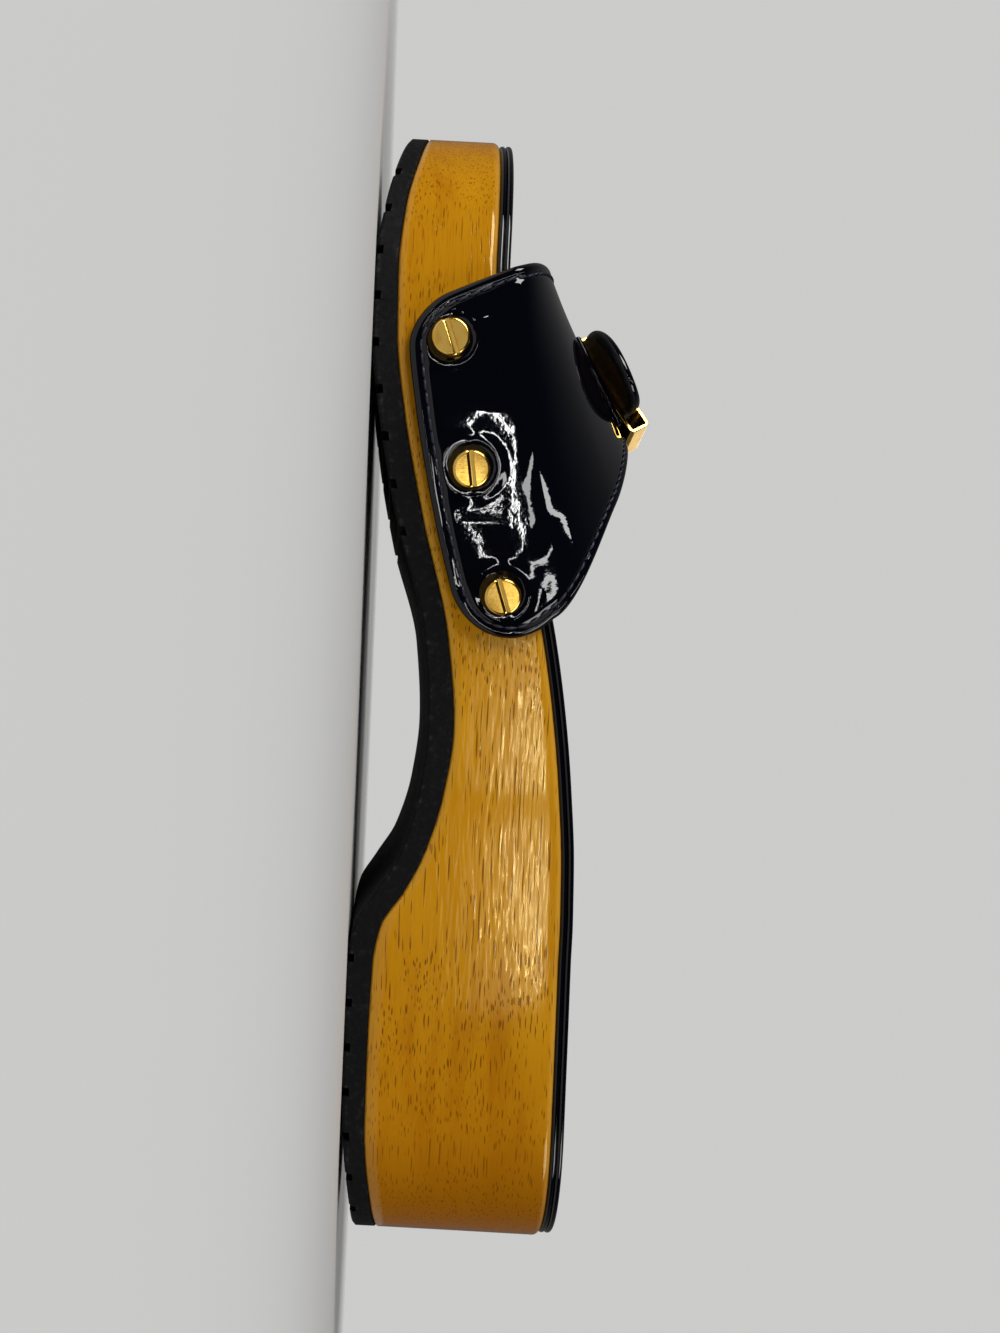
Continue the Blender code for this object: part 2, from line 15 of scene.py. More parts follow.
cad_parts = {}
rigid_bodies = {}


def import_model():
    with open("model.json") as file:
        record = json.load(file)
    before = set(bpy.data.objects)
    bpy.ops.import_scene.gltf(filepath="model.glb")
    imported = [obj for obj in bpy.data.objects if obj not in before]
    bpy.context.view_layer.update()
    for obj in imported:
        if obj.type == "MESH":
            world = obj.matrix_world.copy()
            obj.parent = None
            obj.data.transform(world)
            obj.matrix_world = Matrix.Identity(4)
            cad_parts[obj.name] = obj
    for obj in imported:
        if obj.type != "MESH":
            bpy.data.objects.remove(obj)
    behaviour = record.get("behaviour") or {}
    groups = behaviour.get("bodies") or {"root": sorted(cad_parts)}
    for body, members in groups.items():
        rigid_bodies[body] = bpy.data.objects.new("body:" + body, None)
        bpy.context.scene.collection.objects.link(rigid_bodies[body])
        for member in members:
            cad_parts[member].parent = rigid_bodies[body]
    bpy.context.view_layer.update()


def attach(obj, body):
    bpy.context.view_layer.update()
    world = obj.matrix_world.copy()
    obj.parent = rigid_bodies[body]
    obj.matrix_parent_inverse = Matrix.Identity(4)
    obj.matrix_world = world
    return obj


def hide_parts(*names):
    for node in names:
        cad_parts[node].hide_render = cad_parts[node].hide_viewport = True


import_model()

bl_info = {
    "name": "Slide sandal",
    "version": (1, 0, 0),
    "blender": (4, 5, 0),
    "location": "3D View > Sidebar > Sandal",
    "description": "Wooden-soled slide sandal with a buckled patent band",
    "category": "Object",
}

MM = 0.001
GAP = 0.3
WELD_REACH = 2e-7
THIN_FACE = 1e-8

# Sole: the same tables and sizes as the solids
LENGTH = 252.0
MIDDLE = 126.0
HEEL_ROUND = 33.0
TOE_ROUND_MEDIAL = 48.0
TOE_ROUND_LATERAL = 84.0
TOE_TIP_Y = 6.0
ROUND_POWER = 2.2
WALL_FLARE = 0.02
HEEL_LEAN = 0.08
TOE_LEAN = 0.05
SOLE_COLUMNS = ("station", "medial", "lateral", "tread", "seam", "deck", "dish")
SOLE_ROWS = (
    (0, 30.0, 29.0, 3.8, 9.0, 46.0, 0.6),
    (14, 31.0, 29.8, 2.4, 7.0, 45.8, 1.6),
    (33, 32.2, 30.4, 0.5, 5.1, 45.6, 2.6),
    (48, 32.2, 30.8, 0.0, 5.0, 45.6, 2.8),
    (68, 31.9, 31.6, 0.0, 5.4, 45.6, 2.6),
    (76, 31.8, 32.0, 1.2, 6.8, 45.7, 2.4),
    (83, 31.6, 32.5, 5.2, 11.3, 45.6, 2.2),
    (91, 31.4, 33.2, 10.0, 15.3, 45.4, 2.0),
    (104, 31.3, 34.6, 13.6, 19.0, 44.4, 1.8),
    (118, 31.8, 36.8, 15.0, 20.7, 42.8, 1.6),
    (138, 34.3, 40.6, 13.5, 18.6, 39.2, 1.6),
    (163, 40.0, 44.0, 6.4, 12.0, 32.3, 1.8),
    (185, 43.8, 44.4, 1.8, 7.1, 27.3, 1.8),
    (200, 44.3, 44.0, 0.0, 5.1, 25.4, 1.6),
    (214, 44.6, 43.2, 0.0, 4.8, 25.1, 1.4),
    (228, 44.4, 42.4, 1.6, 5.9, 25.4, 1.0),
    (240, 43.6, 41.4, 3.9, 8.2, 25.8, 0.6),
    (252, 42.6, 40.4, 6.8, 10.8, 26.2, 0.3),
)
SOLE_STEPS = 260
WOOD_EDGE = 1.6
WOOD_CHAMFER = 0.5
WOOD_WALL_ROWS = 16
WOOD_EDGE_ROWS = 9
WOOD_FOOT_PALE = 0.6
RUBBER_CHAMFER = 0.6
RUBBER_LIP = 0.25
RUBBER_WALL_ROWS = 6
RUBBER_FOOT_WEAR = (0.5, 1.0)
RUBBER_WALL_WEAR = 0.25
RUBBER_LIP_PALE = 0.8
NOTCH_LIP = 0.05
STATION_SLACK = 0.01
GROOVE_WIDTH = 1.8
GROOVE_DEPTH = 1.4
GROOVE_PITCH = 9.5
GROOVE_SLOPE = 0.06
GROOVE_RUNS = ((12.0, 70.0), (160.0, 242.0))
BORDER_GROOVE = (3.4, 4.6)
BORDER_DEPTH = 0.8
BORDER_SLOPE = 0.1
SEAM_GAP = 0.05
INSOLE_TOP = GAP + 2.6
INSOLE_INSET = 0.7
INSOLE_TUCK = 3.4
INSOLE_ROLL = (0.7, 0.12)
INSOLE_ROLL_ROWS = 6
INSOLE_RISE = 0.3
BEAD_ROWS = 33
BEAD_POWER = 0.6

# Band: the same tables as the solids
BAND_COLUMNS = ("medial_hem", "medial_rim", "medial_arch", "crest", "crest_side", "crest_height",
                "lateral_arch", "lateral_rim", "lateral_hem")
BAND_ROWS = (
    (204.8, 214.4, 218.6, 221.0, 3.0, 36.9, 211.0, 201.0, 192.0),
    (131.5, 143.5, 168.6, 184.5, 2.0, 58.3, 161.0, 142.0, 134.0),
)
HEM_MARGIN = 2.3
RIM_RISE = 3.0
HEM_FRONT_ROUND = 8.0
HEM_REAR_ROUND = 18.0
# Places along the band: 0 medial hem, 1 medial rim, 1.5 arch, 2 crest, 2.5 arch, 3 lateral rim, 4 lateral hem
MARKS = {"medial_hem": 0.0, "medial_rim": 1.0, "medial_arch": 1.5, "crest": 2.0, "lateral_arch": 2.5,
         "lateral_rim": 3.0, "lateral_hem": 4.0}
MEDIAL_END = 2.80
STRAP_TIP = 1.78
SHOULDER = (2.28, 2.44)
CHAPE_REACH = (1.88, 2.20)
CHAPE_LIFT = 2.0
CHAPE_THICK = 1.7
FLAP_COLUMNS = ("along", "lift")
FLAP_ROWS = (
    (1.78, 8.2),
    (1.93, 6.4),
    (2.06, 5.7),
    (2.25, 5.7),
    (2.45, 4.6),
    (2.65, 2.8),
    (2.76, 1.9),
    (3.10, 0.0),
    (4.00, 0.0),
)
STRAP_ACROSS = (0.345, 0.85)
CHAPE_ACROSS = (0.34, 0.86)
TIP_ROUND = 0.20
BAND_THICK = 2.4
EDGE_PAINT = (1.9, 2.5)
EDGE_PUFF = 0.10
SEAM_SPREAD = 0.6
SEAM_END = 2.25
STITCH_COVER = (0.06, 0.94)
STITCH_RINGS = 7
STITCH_SIDES = 6
STITCH_ROOT = 0.02
STITCH_HEIGHT = (1.7, 0.9)
STITCH_SINK = 0.75
STITCH_GIRTH = (0.55, 0.45)
SEAM_STEPS = 160

# Counts of grid points across the leather and along its stretches
BAND_STRIPS = 170
WALL_ROWS = 46
OVER_ROWS = 120
FLAP_STEPS = 60
SHOULDER_STEPS = 30
STRAP_STEPS = 70
CHAPE_STEPS = 41
POINTS_AT_ONCE = 1500

# Creases of the leather: side, centre, half length and half width, lean in degrees and depth
CREASE_COLUMNS = ("side", "station", "height", "length", "width", "lean", "depth")
CREASE_ROWS = (
    (1, 176.0, 31.0, 13.0, 3.2, 18.0, 0.020),
    (1, 158.0, 33.0, 12.0, 2.8, 40.0, 0.025),
    (1, 152.0, 38.0, 10.0, 2.4, 30.0, -0.030),
    (1, 149.0, 43.0, 9.0, 2.6, 52.0, 0.035),
    (1, 163.0, 41.0, 10.0, 3.0, 62.0, -0.030),
    (1, 204.0, 24.0, 5.0, 1.6, 70.0, 0.10),
    (1, 206.0, 20.0, 4.0, 1.2, 50.0, -0.08),
    (-1, 150.0, 32.0, 14.0, 3.0, 30.0, 0.05),
    (-1, 165.0, 26.0, 13.0, 2.6, 15.0, -0.05),
    (-1, 142.0, 38.0, 10.0, 2.6, 45.0, -0.05),
)
CREASE_SIDE = 10.0

# Buckle and screws
BUCKLE_PLACE = (2.10, 0.642)
BUCKLE_LIFT = 4.0
BUCKLE_WIDTH = 27.5
BUCKLE_LENGTH = 11.5
BUCKLE_HEIGHT = 5.5
BUCKLE_WALL = 0.9
BUCKLE_CORNERS = (1.3, 0.35)
BUCKLE_POLISH = 0.22
BUCKLE_POLISH_STEPS = 3
BUCKLE_POLISH_ANGLE = 50.0
WINDOW_WIDTH = 14.0
WINDOW_LENGTH = 7.5
PRONG_RADIUS = 0.6
PRONG_TAPER = 0.12
PRONG_BLUNT = 6
PRONG_RINGS = 29
PRONG_SIDES = 20
SCREW_COLUMNS = ("side", "name", "station", "height", "slot_turn")
SCREW_ROWS = (
    (1, "medial_front", 199.1, 15.9, 20.0),
    (1, "medial_middle", 173.5, 21.3, 9.0),
    (1, "medial_rear", 148.1, 29.3, 19.0),
    (-1, "lateral_front", 186.5, 17.4, -14.0),
    (-1, "lateral_middle", 165.5, 22.4, 32.0),
    (-1, "lateral_rear", 145.0, 28.8, -8.0),
)
HEAD_RADIUS = 3.9
HEAD_ROUND = 0.5
HEAD_DOME = 0.05
HEAD_TOP = 2 * GAP + BAND_THICK + 2.0
HEAD_FOOT = 1.9
SLOT_WIDTH = 1.5
SLOT_DEPTH = 0.9
SLOT_HOLLOW = 0.25
SLOT_RIM = 0.06
SLOT_STEEP = (0.01, 0.012)
SLOT_CHORDS = 9
HEAD_CHORDS = 22
HEAD_STEPS = 41
DIMPLE_DEPTH = 0.4
DIMPLE_REACH = (3.9, 4.6)
DIMPLE_RING = (0.08, 6.0, 1.0)
DIMPLE_SPAN = (-8.0, 12.0)

# Thin lamps that the glossy pieces mirror: what they light, both ends, width and brightness
GLOW_COLUMNS = ("lit", "start", "end", "width", "glow")
GLOW_ROWS = (
    ("leather", (16, 700, 77), (98, 700, 87), 2.2, 40.0),
    ("leather", (94, 700, 86), (90, 700, 99), 5.0, 32.0),
    ("leather", (92, 700, 97), (-98, 700, 112), 2.2, 45.0),
    ("leather", (-98, 700, 112), (-155, 700, 119), 2.2, 45.0),
    ("leather", (-155, 700, 119), (-232, 700, 128), 2.2, 36.0),
    ("leather", (-70, 700, 96), (-152, 700, 108), 2.2, 45.0),
    ("leather", (-159, 700, 108), (-160, 700, 83), 1.0, 40.0),
    ("leather", (-160, 700, 84), (-268, 700, 101), 1.3, 40.0),
    ("leather", (-60, 700, 62), (-155, 700, 76), 1.6, 35.0),
    ("leather", (194, 700, 54), (233, 700, 64), 1.2, 30.0),
    ("leather", (233, 700, 64), (200, 700, 69), 1.2, 30.0),
    ("leather", (202, 700, 79), (218, 700, 78), 3.0, 30.0),
    ("leather", (0, 700, 545), (-154, 700, 129), 22.0, 9.0),
    ("leather", (-262, 700, 135), (-115, 700, 715), 10.0, 12.0),
    ("leather", (20, 300, 310), (65, 300, 900), 13.0, 11.0),
    ("wood", (-85, 700, 150), (-195, 700, 158), 44.0, 3.6),
    ("wood", (-92, 700, 138), (-190, 700, 148), 5.0, 34.0),
    ("wood", (-90, 700, 112), (-205, 700, 120), 40.0, 1.4),
    ("metal", (280, 700, 95), (-380, 700, 95), 240.0, 0.42),
    ("metal", (-118, 700, 75), (-225, 700, 75), 80.0, 1.7),
    ("metal", (-225, 700, 160), (-350, 700, 160), 84.0, 1.4),
    ("metal", (280, -700, 95), (-380, -700, 95), 240.0, 0.4),
    ("buckle", (300, -500, 165), (-260, -500, 165), 260.0, 1.4),
    ("buckle", (0, -500, 375), (-300, -500, 375), 150.0, 0.8),
)
LIT_PIECES = {
    "leather": ("band_", "buckle_chape", "seam_"),
    "wood": ("wood_block",),
    "metal": ("screw_head_",),
    "buckle": ("buckle_box", "prong_pin"),
}

# Soft lamps, the room and the floor
LAMP_COLUMNS = ("name", "place", "aim", "power")
LAMP_ROWS = (
    ("lamp toe side", (620, 520, 400), (20, 30, 25), 6.4),
    ("lamp heel side", (-560, 460, 480), (-20, 30, 25), 2.8),
)
LAMP_SIZE = 0.42
BACKDROP = (0.60, 0.60, 0.595)
ROOM_SIDES = (-0.75, 0.45)
ROOM_SHADES = (0.24, 0.012)
ROOM_DIMMING = 0.55
FLOOR_HALF = 3.0
FLOOR_FADE = (0.15, 0.36)

# Camera at the photo's place, in millimetres in the part's frame
CAMERA_PLACE = (6.5, 338.0, 5.6)
CAMERA_AIM = (6.5, 46.0, 29.0)
CAMERA_ROLL = 2.41
CAMERA_LENS = 38.5
CAMERA_SENSOR = 36.0


def columns(names, rows):
    """Columns of a table by their names."""
    return {name: np.array(values, dtype=float) for name, values in zip(names, zip(*rows))}


def records(names, rows):
    """Rows of a table, each with its values by their names."""
    return [dict(zip(names, row)) for row in rows]


SOLE = columns(SOLE_COLUMNS, SOLE_ROWS)
BAND = columns(BAND_COLUMNS, BAND_ROWS)
FLAP = columns(FLAP_COLUMNS, FLAP_ROWS)
CREASES = columns(CREASE_COLUMNS, CREASE_ROWS)
SCREWS = records(SCREW_COLUMNS, SCREW_ROWS)


class SandalSizes(bpy.types.PropertyGroup):
    """Sizes of the sandal's fine detail."""
    stitch_pitch: bpy.props.FloatProperty(
        name="Stitch pitch", description="Distance from one stitch to the next",
        default=0.0027, min=0.001, max=0.01, subtype="DISTANCE", unit="LENGTH")
    stitch_inset: bpy.props.FloatProperty(
        name="Stitch inset", description="Distance of the seam from the leather's edge",
        default=0.0024, min=0.001, max=0.01, subtype="DISTANCE", unit="LENGTH")
    thread_width: bpy.props.FloatProperty(
        name="Thread width", description="Thickness of the sewing thread",
        default=0.0006, min=0.0002, max=0.002, subtype="DISTANCE", unit="LENGTH")
    seam_depth: bpy.props.FloatProperty(
        name="Seam depth", description="How far the seam sinks into the leather",
        default=0.0003, min=0.0, max=0.001, subtype="DISTANCE", unit="LENGTH")
    bead_depth: bpy.props.FloatProperty(
        name="Bead depth", description="Depth of the groove between the beads of the footbed's edge",
        default=0.00055, min=0.0, max=0.001, subtype="DISTANCE", unit="LENGTH")


class SandalColours(bpy.types.PropertyGroup):
    """Colours of the sandal's finishes."""
    wood: bpy.props.FloatVectorProperty(
        name="Wood", description="Golden ground of the lacquered wood",
        default=(0.50, 0.215, 0.005), min=0, max=1, size=3, subtype="COLOR")
    # also the colour of the painted shade towards the heel end of the wood
    streak: bpy.props.FloatVectorProperty(
        name="Streak", description="Darker streaks along the grain",
        default=(0.36, 0.118, 0.002), min=0, max=1, size=3, subtype="COLOR")
    pore: bpy.props.FloatVectorProperty(
        name="Pore", description="Open pores of the wood",
        default=(0.13, 0.034, 0.001), min=0, max=1, size=3, subtype="COLOR")
    patent: bpy.props.FloatVectorProperty(
        name="Patent", description="Patent leather of the band and the footbed's edge",
        default=(0.0012, 0.0014, 0.0030), min=0, max=1, size=3, subtype="COLOR")
    lining: bpy.props.FloatVectorProperty(
        name="Lining", description="Leather on the inside of the band",
        default=(0.085, 0.036, 0.010), min=0, max=1, size=3, subtype="COLOR")
    thread: bpy.props.FloatVectorProperty(
        name="Thread", description="Sewing thread",
        default=(0.012, 0.012, 0.030), min=0, max=1, size=3, subtype="COLOR")
    rubber: bpy.props.FloatVectorProperty(
        name="Rubber", description="Rubber of the outsole",
        default=(0.0022, 0.0023, 0.0024), min=0, max=1, size=3, subtype="COLOR")
    gold: bpy.props.FloatVectorProperty(
        name="Gold", description="Plated metal of the buckle and the screws",
        default=(0.95, 0.60, 0.13), min=0, max=1, size=3, subtype="COLOR")
    floor: bpy.props.FloatVectorProperty(
        name="Floor", description="Floor of the stage",
        default=(0.62, 0.62, 0.61), min=0, max=1, size=3, subtype="COLOR")


# Shapes of the sole
def smooth(knots, values, where):
    """Smooth curve through a table that never overshoots it: a cubic with limited slopes.

    values has one row for each knot. Its further axes, if any, belong to the places in where.
    """
    knots, values = np.asarray(knots, float), np.asarray(values, float)
    where = np.clip(where, knots[0], knots[-1])
    values = values.reshape(values.shape + (1,) * (1 + where.ndim - values.ndim))
    values = np.broadcast_to(values, values.shape[:1] + where.shape)
    step = np.diff(knots).reshape((-1,) + (1,) * where.ndim)
    rise = np.diff(values, axis=0) / step
    same_way = rise[:-1] * rise[1:] > 0
    total = np.where(same_way, rise[:-1] + rise[1:], 1.0)
    inner = np.where(same_way, 2.0 * rise[:-1] * rise[1:] / total, 0.0)
    slope = np.concatenate([rise[:1], inner, rise[-1:]])
    left = np.clip(np.searchsorted(knots, where, side="right") - 1, 0, len(knots) - 2)

    def pick(table, row):
        return np.take_along_axis(table, row[None], axis=0)[0]

    width = np.diff(knots)[left]
    u = (where - knots[left]) / width
    start = (1 + 2 * u) * (1 - u) ** 2 * pick(values, left) + u * (1 - u) ** 2 * width * pick(slope, left)
    end = u ** 2 * (3 - 2 * u) * pick(values, left + 1) + u ** 2 * (u - 1) * width * pick(slope, left + 1)
    return start + end


def sole(column, station):
    """Value of one column of the sole's table at a station."""
    return smooth(SOLE["station"], SOLE[column], np.asarray(station, float))


def closing(distance, reach):
    """How far a round end has opened, from 0 at its tip to 1 at its reach: a superellipse."""
    into = np.clip(1.0 - distance / reach, 0.0, 1.0)
    return (1.0 - into ** ROUND_POWER) ** (1.0 / ROUND_POWER)


def outline(side, station):
    """Y of the deck's outline on the medial (1) or lateral (-1) side: half width times both ends' closing."""
    half = np.where(side > 0, sole("medial", station), -sole("lateral", station))
    toe_reach = np.where(side > 0, TOE_ROUND_MEDIAL, TOE_ROUND_LATERAL)
    straight = half * closing(station, HEEL_ROUND)
    return TOE_TIP_Y + (straight - TOE_TIP_Y) * closing(LENGTH - station, toe_reach)


def wall(side, station, height):
    """Y of the sole's side wall, which flares slightly towards the floor."""
    return outline(side, station) + side * WALL_FLARE * (sole("deck", station) - height)


def lean(station, height):
    """Shift along the shoe below the deck, where both ends lean in: depth times the end's squared share."""
    to_heel = np.clip(1.0 - station / HEEL_ROUND, 0.0, 1.0) ** 2
    to_toe = np.clip(1.0 - (LENGTH - station) / HEEL_ROUND, 0.0, 1.0) ** 2
    return (HEEL_LEAN * to_heel - TOE_LEAN * to_toe) * (sole("deck", station) - height)


def sole_stations(extra=()):
    """Stations that crowd towards both ends as a cosine does, with further ones added."""
    turn = np.linspace(0.0, np.pi, SOLE_STEPS + 1)
    return np.unique(np.concatenate([LENGTH * (0.5 - 0.5 * np.cos(turn)), np.asarray(extra, float)]))


def sole_loop(stations):
    """Closed line round the deck, out on the medial side and back on the lateral one.

    Returns the station of each point, its place in plan and the unit direction into the sole, which stands
    square to the mean of the two neighbouring steps.
    """
    station = np.concatenate([stations, stations[-2:0:-1]])
    side = np.where(np.arange(len(station)) < len(stations), 1.0, -1.0)
    line = np.stack([station, outline(side, station)], axis=-1)
    ahead = unit(np.roll(line, -1, axis=0) - line)
    along = unit(ahead + np.roll(ahead, 1, axis=0))
    return station, line, np.stack([along[:, 1], -along[:, 0]], axis=-1)


def sole_rings(loop, insets, heights):
    """Rows of closed rings: the deck's line moved inwards by an inset and set at a height, row by row."""
    station, line, inward = loop
    insets = np.stack([np.broadcast_to(inset, station.shape) for inset in insets])
    heights = np.stack([np.broadcast_to(height, station.shape) for height in heights])
    plan = line + insets[..., None] * inward
    plan[..., 0] += lean(np.broadcast_to(station, heights.shape), heights)
    return np.concatenate([plan, heights[..., None]], axis=-1)


def sole_face(ring, spans, sag):
    """Grid that fills a ring: straight lines from each medial point to the lateral one of the same station,
    lowered by the station's sag times one minus the square of the place across."""
    pair = np.arange(len(ring) // 2 + 1)
    medial, lateral = ring[pair], ring[-pair]
    share = np.linspace(0.0, 1.0, spans + 1)
    grid = medial[:, None] + (lateral - medial)[:, None] * share[:, None]
    grid[..., 2] -= np.broadcast_to(sag, len(grid))[:, None] * (1.0 - (2.0 * share - 1.0) ** 2)
    return grid


# Shapes of the band
def across_band(column, across):
    """Value of one column of the band's table between its front (0) and rear (1) edge."""
    front, rear = BAND[column]
    return front + (rear - front) * across


def band_point(along, across):
    """Inner face of the band as (station, y, z).

    Up to each rim the band lies on the sole's wall and rises in proportion. Between the rims it is half an
    oval: cosine of the turn for the side, sine for the height. Stations follow a smooth curve through the
    marks.
    """
    along, across = np.broadcast_arrays(np.asarray(along, float), np.asarray(across, float))
    marked = np.stack([across_band(name, across) for name in MARKS])
    station = smooth(list(MARKS.values()), marked, along)
    medial = along <= MARKS["crest"]
    side = np.where(medial, 1.0, -1.0)
    from_hem = np.where(medial, along, MARKS["lateral_hem"] - along)
    hem_station = np.where(medial, across_band("medial_hem", across), across_band("lateral_hem", across))
    rim_station = np.where(medial, across_band("medial_rim", across), across_band("lateral_rim", across))
    hem_height = sole("seam", hem_station) + HEM_MARGIN
    rim_height = sole("deck", rim_station) + RIM_RISE
    wall_height = hem_height + (rim_height - hem_height) * from_hem
    wall_y = wall(side, station, wall_height) + side * GAP
    turn = 0.5 * np.pi * np.clip(from_hem - 1.0, 0.0, 1.0)
    crest_y = across_band("crest_side", across)
    arch_y = crest_y + (wall(side, rim_station, rim_height) + side * GAP - crest_y) * np.cos(turn)
    arch_height = rim_height + (across_band("crest_height", across) - rim_height) * np.sin(turn)
    on_wall = from_hem <= 1.0
    y, z = np.where(on_wall, wall_y, arch_y), np.where(on_wall, wall_height, arch_height)
    return np.stack([station, y, z], axis=-1)


def unit(vectors):
    """Vectors scaled to length one."""
    return vectors / np.linalg.norm(vectors, axis=-1, keepdims=True)


def band_slopes(along, across):
    """Steps of the band's inner face for one unit of along and of across, from central differences."""
    small = 0.01
    lengthwise = band_point(along + small, across) - band_point(along - small, across)
    crosswise = band_point(along, across + small) - band_point(along, across - small)
    return lengthwise / (2 * small), crosswise / (2 * small)


def band_normal(along, across):
    """Outward unit normal of the band."""
    lengthwise, crosswise = band_slopes(along, across)
    return unit(np.cross(crosswise, lengthwise))


def corner_rise(distance, radius):
    """Height of a quarter round at a distance from its upright side."""
    into = np.clip(radius - distance, 0.0, radius)
    return radius - np.sqrt(radius ** 2 - into ** 2)


def hem_start(name, across):
    """Where a strip of the medial or lateral half starts, with quarter rounds as its lower corners."""
    width = abs(np.diff(BAND[f"{name}_hem"])[0])
    rise = np.maximum(corner_rise(across * width, HEM_FRONT_ROUND),
                      corner_rise((1.0 - across) * width, HEM_REAR_ROUND))
    rim_height = sole("deck", across_band(f"{name}_rim", across)) + RIM_RISE
    hem_height = sole("seam", across_band(f"{name}_hem", across)) + HEM_MARGIN
    return rise / (rim_height - hem_height)


def crowded(count):
    """Shares from 0 to 1 that crowd at both ends as a cosine does."""
    return 0.5 - 0.5 * np.cos(np.pi * np.linspace(0.0, 1.0, count))


def slow_start(count):
    """Shares from 0 to 1 that start out close together: one minus the cosine of a quarter turn."""
    return 1.0 - np.cos(0.5 * np.pi * np.linspace(0.0, 1.0, count))


def slow_end(count):
    """Shares from 0 to 1 that end close together: the sine of a quarter turn."""
    return np.sin(0.5 * np.pi * np.linspace(0.0, 1.0, count))


def full_rows(values, share):
    """Rows of a grid that each hold one value all the way across."""
    return np.broadcast_to(values[:, None], (len(values), len(share)))


def medial_places():
    """Grid of (along, across, lift) for the inner half, from its round hem to its end under the other."""
    share = crowded(BAND_STRIPS + 1)
    start = hem_start("medial", share)
    on_wall = start + (1.0 - start) * slow_start(WALL_ROWS)[:-1, None]
    over = full_rows(1.0 + (MEDIAL_END - 1.0) * slow_end(OVER_ROWS), share)
    along = np.concatenate([on_wall, over])
    return along, np.broadcast_to(share, along.shape), np.zeros(along.shape)


def flap_lift(along):
    """How far the outer half stands off the band's inner face, after the flap's table."""
    return smooth(FLAP["along"], FLAP["lift"], along)


def lateral_places():
    """Grid of (along, across, lift) for the outer half: hem, flap, quarter-round shoulders, strap, tip."""
    share = crowded(BAND_STRIPS + 1)
    start = hem_start("lateral", share)
    on_wall = 4.0 - start - (1.0 - start) * slow_start(WALL_ROWS)[:-1, None]
    narrow, broad = SHOULDER
    flap = np.linspace(3.0, broad, FLAP_STEPS)[:-1]
    shoulder = broad - (broad - narrow) * slow_end(SHOULDER_STEPS)
    tip = STRAP_TIP + TIP_ROUND * (1.0 - np.sqrt(1.0 - (2.0 * share - 1.0) ** 2))
    strap = narrow + (tip - narrow) * slow_end(STRAP_STEPS)[1:, None]
    along = np.concatenate([on_wall, full_rows(np.concatenate([flap, shoulder]), share), strap])
    into = np.clip((broad - along) / (broad - narrow), 0.0, 1.0)
    narrowing = 1.0 - np.sqrt(1.0 - into ** 2)
    front = STRAP_ACROSS[0] * narrowing
    rear = 1.0 + (STRAP_ACROSS[1] - 1.0) * narrowing
    return along, front + (rear - front) * share, flap_lift(along)


def chape_places():
    """Grid of (along, across, lift) for the folded layer of leather under the buckle."""
    spread = crowded(CHAPE_STEPS)
    along = CHAPE_REACH[0] + (CHAPE_REACH[1] - CHAPE_REACH[0]) * spread[:, None]
    across = CHAPE_ACROSS[0] + (CHAPE_ACROSS[1] - CHAPE_ACROSS[0]) * spread[None, :]
    along, across = np.broadcast_arrays(along, across)
    return along, across, np.full(along.shape, CHAPE_LIFT)


def border_distance(grid):
    """Distance of each point of a grid from its border: the least one from the border's straight pieces."""
    line = np.concatenate([grid[0], grid[1:, -1], grid[-1, -2::-1], grid[-2:0:-1, 0]])
    step = np.roll(line, -1, axis=0) - line
    square = np.maximum((step ** 2).sum(-1), 1e-12)
    points = grid.reshape(-1, 3)
    nearest = []
    for part in np.array_split(points, len(points) // POINTS_AT_ONCE + 1):
        away = part[:, None] - line
        reach = np.clip((away * step).sum(-1) / square, 0.0, 1.0)
        nearest.append(np.sqrt(((away - reach[..., None] * step) ** 2).sum(-1).min(axis=1)))
    return np.concatenate(nearest).reshape(grid.shape[:2])


def bell(value, middle, spread):
    """Bell curve of height one."""
    return np.exp(-((value - middle) / spread) ** 2)


def rising(value, low, high):
    """Smooth step from 0 at low to 1 at high."""
    share = np.clip((value - low) / (high - low), 0.0, 1.0)
    return share * share * (3.0 - 2.0 * share)


def leather_relief(points, distance, sizes):
    """Height of the leather's outer skin over its plain form.

    A puffed edge, a bell-shaped furrow under the seam, a dished ring round each screw head and long
    bell-shaped creases from the table.
    """
    inset = sizes.stitch_inset / MM
    relief = EDGE_PUFF * bell(distance, 0.5 * inset, 0.5 * inset)
    relief -= sizes.seam_depth / MM * bell(distance, inset, SEAM_SPREAD)
    ring_height, *ring = DIMPLE_RING
    for screw in SCREWS:
        centre = screw_frame(screw).translation / MM
        offset = points - np.array([centre.x + MIDDLE, centre.y, centre.z])
        radius = np.linalg.norm(offset[..., (0, 2)], axis=-1)
        outwards = offset[..., 1] * screw["side"]
        near = (outwards > DIMPLE_SPAN[0]) & (outwards < DIMPLE_SPAN[1])
        dish = -DIMPLE_DEPTH * (1.0 - rising(radius, *DIMPLE_REACH)) + ring_height * bell(radius, *ring)
        relief += np.where(near, dish, 0.0)
    turn = np.radians(CREASES["lean"])
    right = points[..., 0, None] - CREASES["station"]
    up = points[..., 2, None] - CREASES["height"]
    lengthwise = bell(right * np.cos(turn) + up * np.sin(turn), 0.0, CREASES["length"])
    crosswise = bell(up * np.cos(turn) - right * np.sin(turn), 0.0, CREASES["width"])
    crease = CREASES["depth"] * lengthwise * crosswise
    relief += np.where(points[..., 1, None] * CREASES["side"] > CREASE_SIDE, crease, 0.0).sum(-1)
    return relief * rising(distance, 0.0, 1.0)


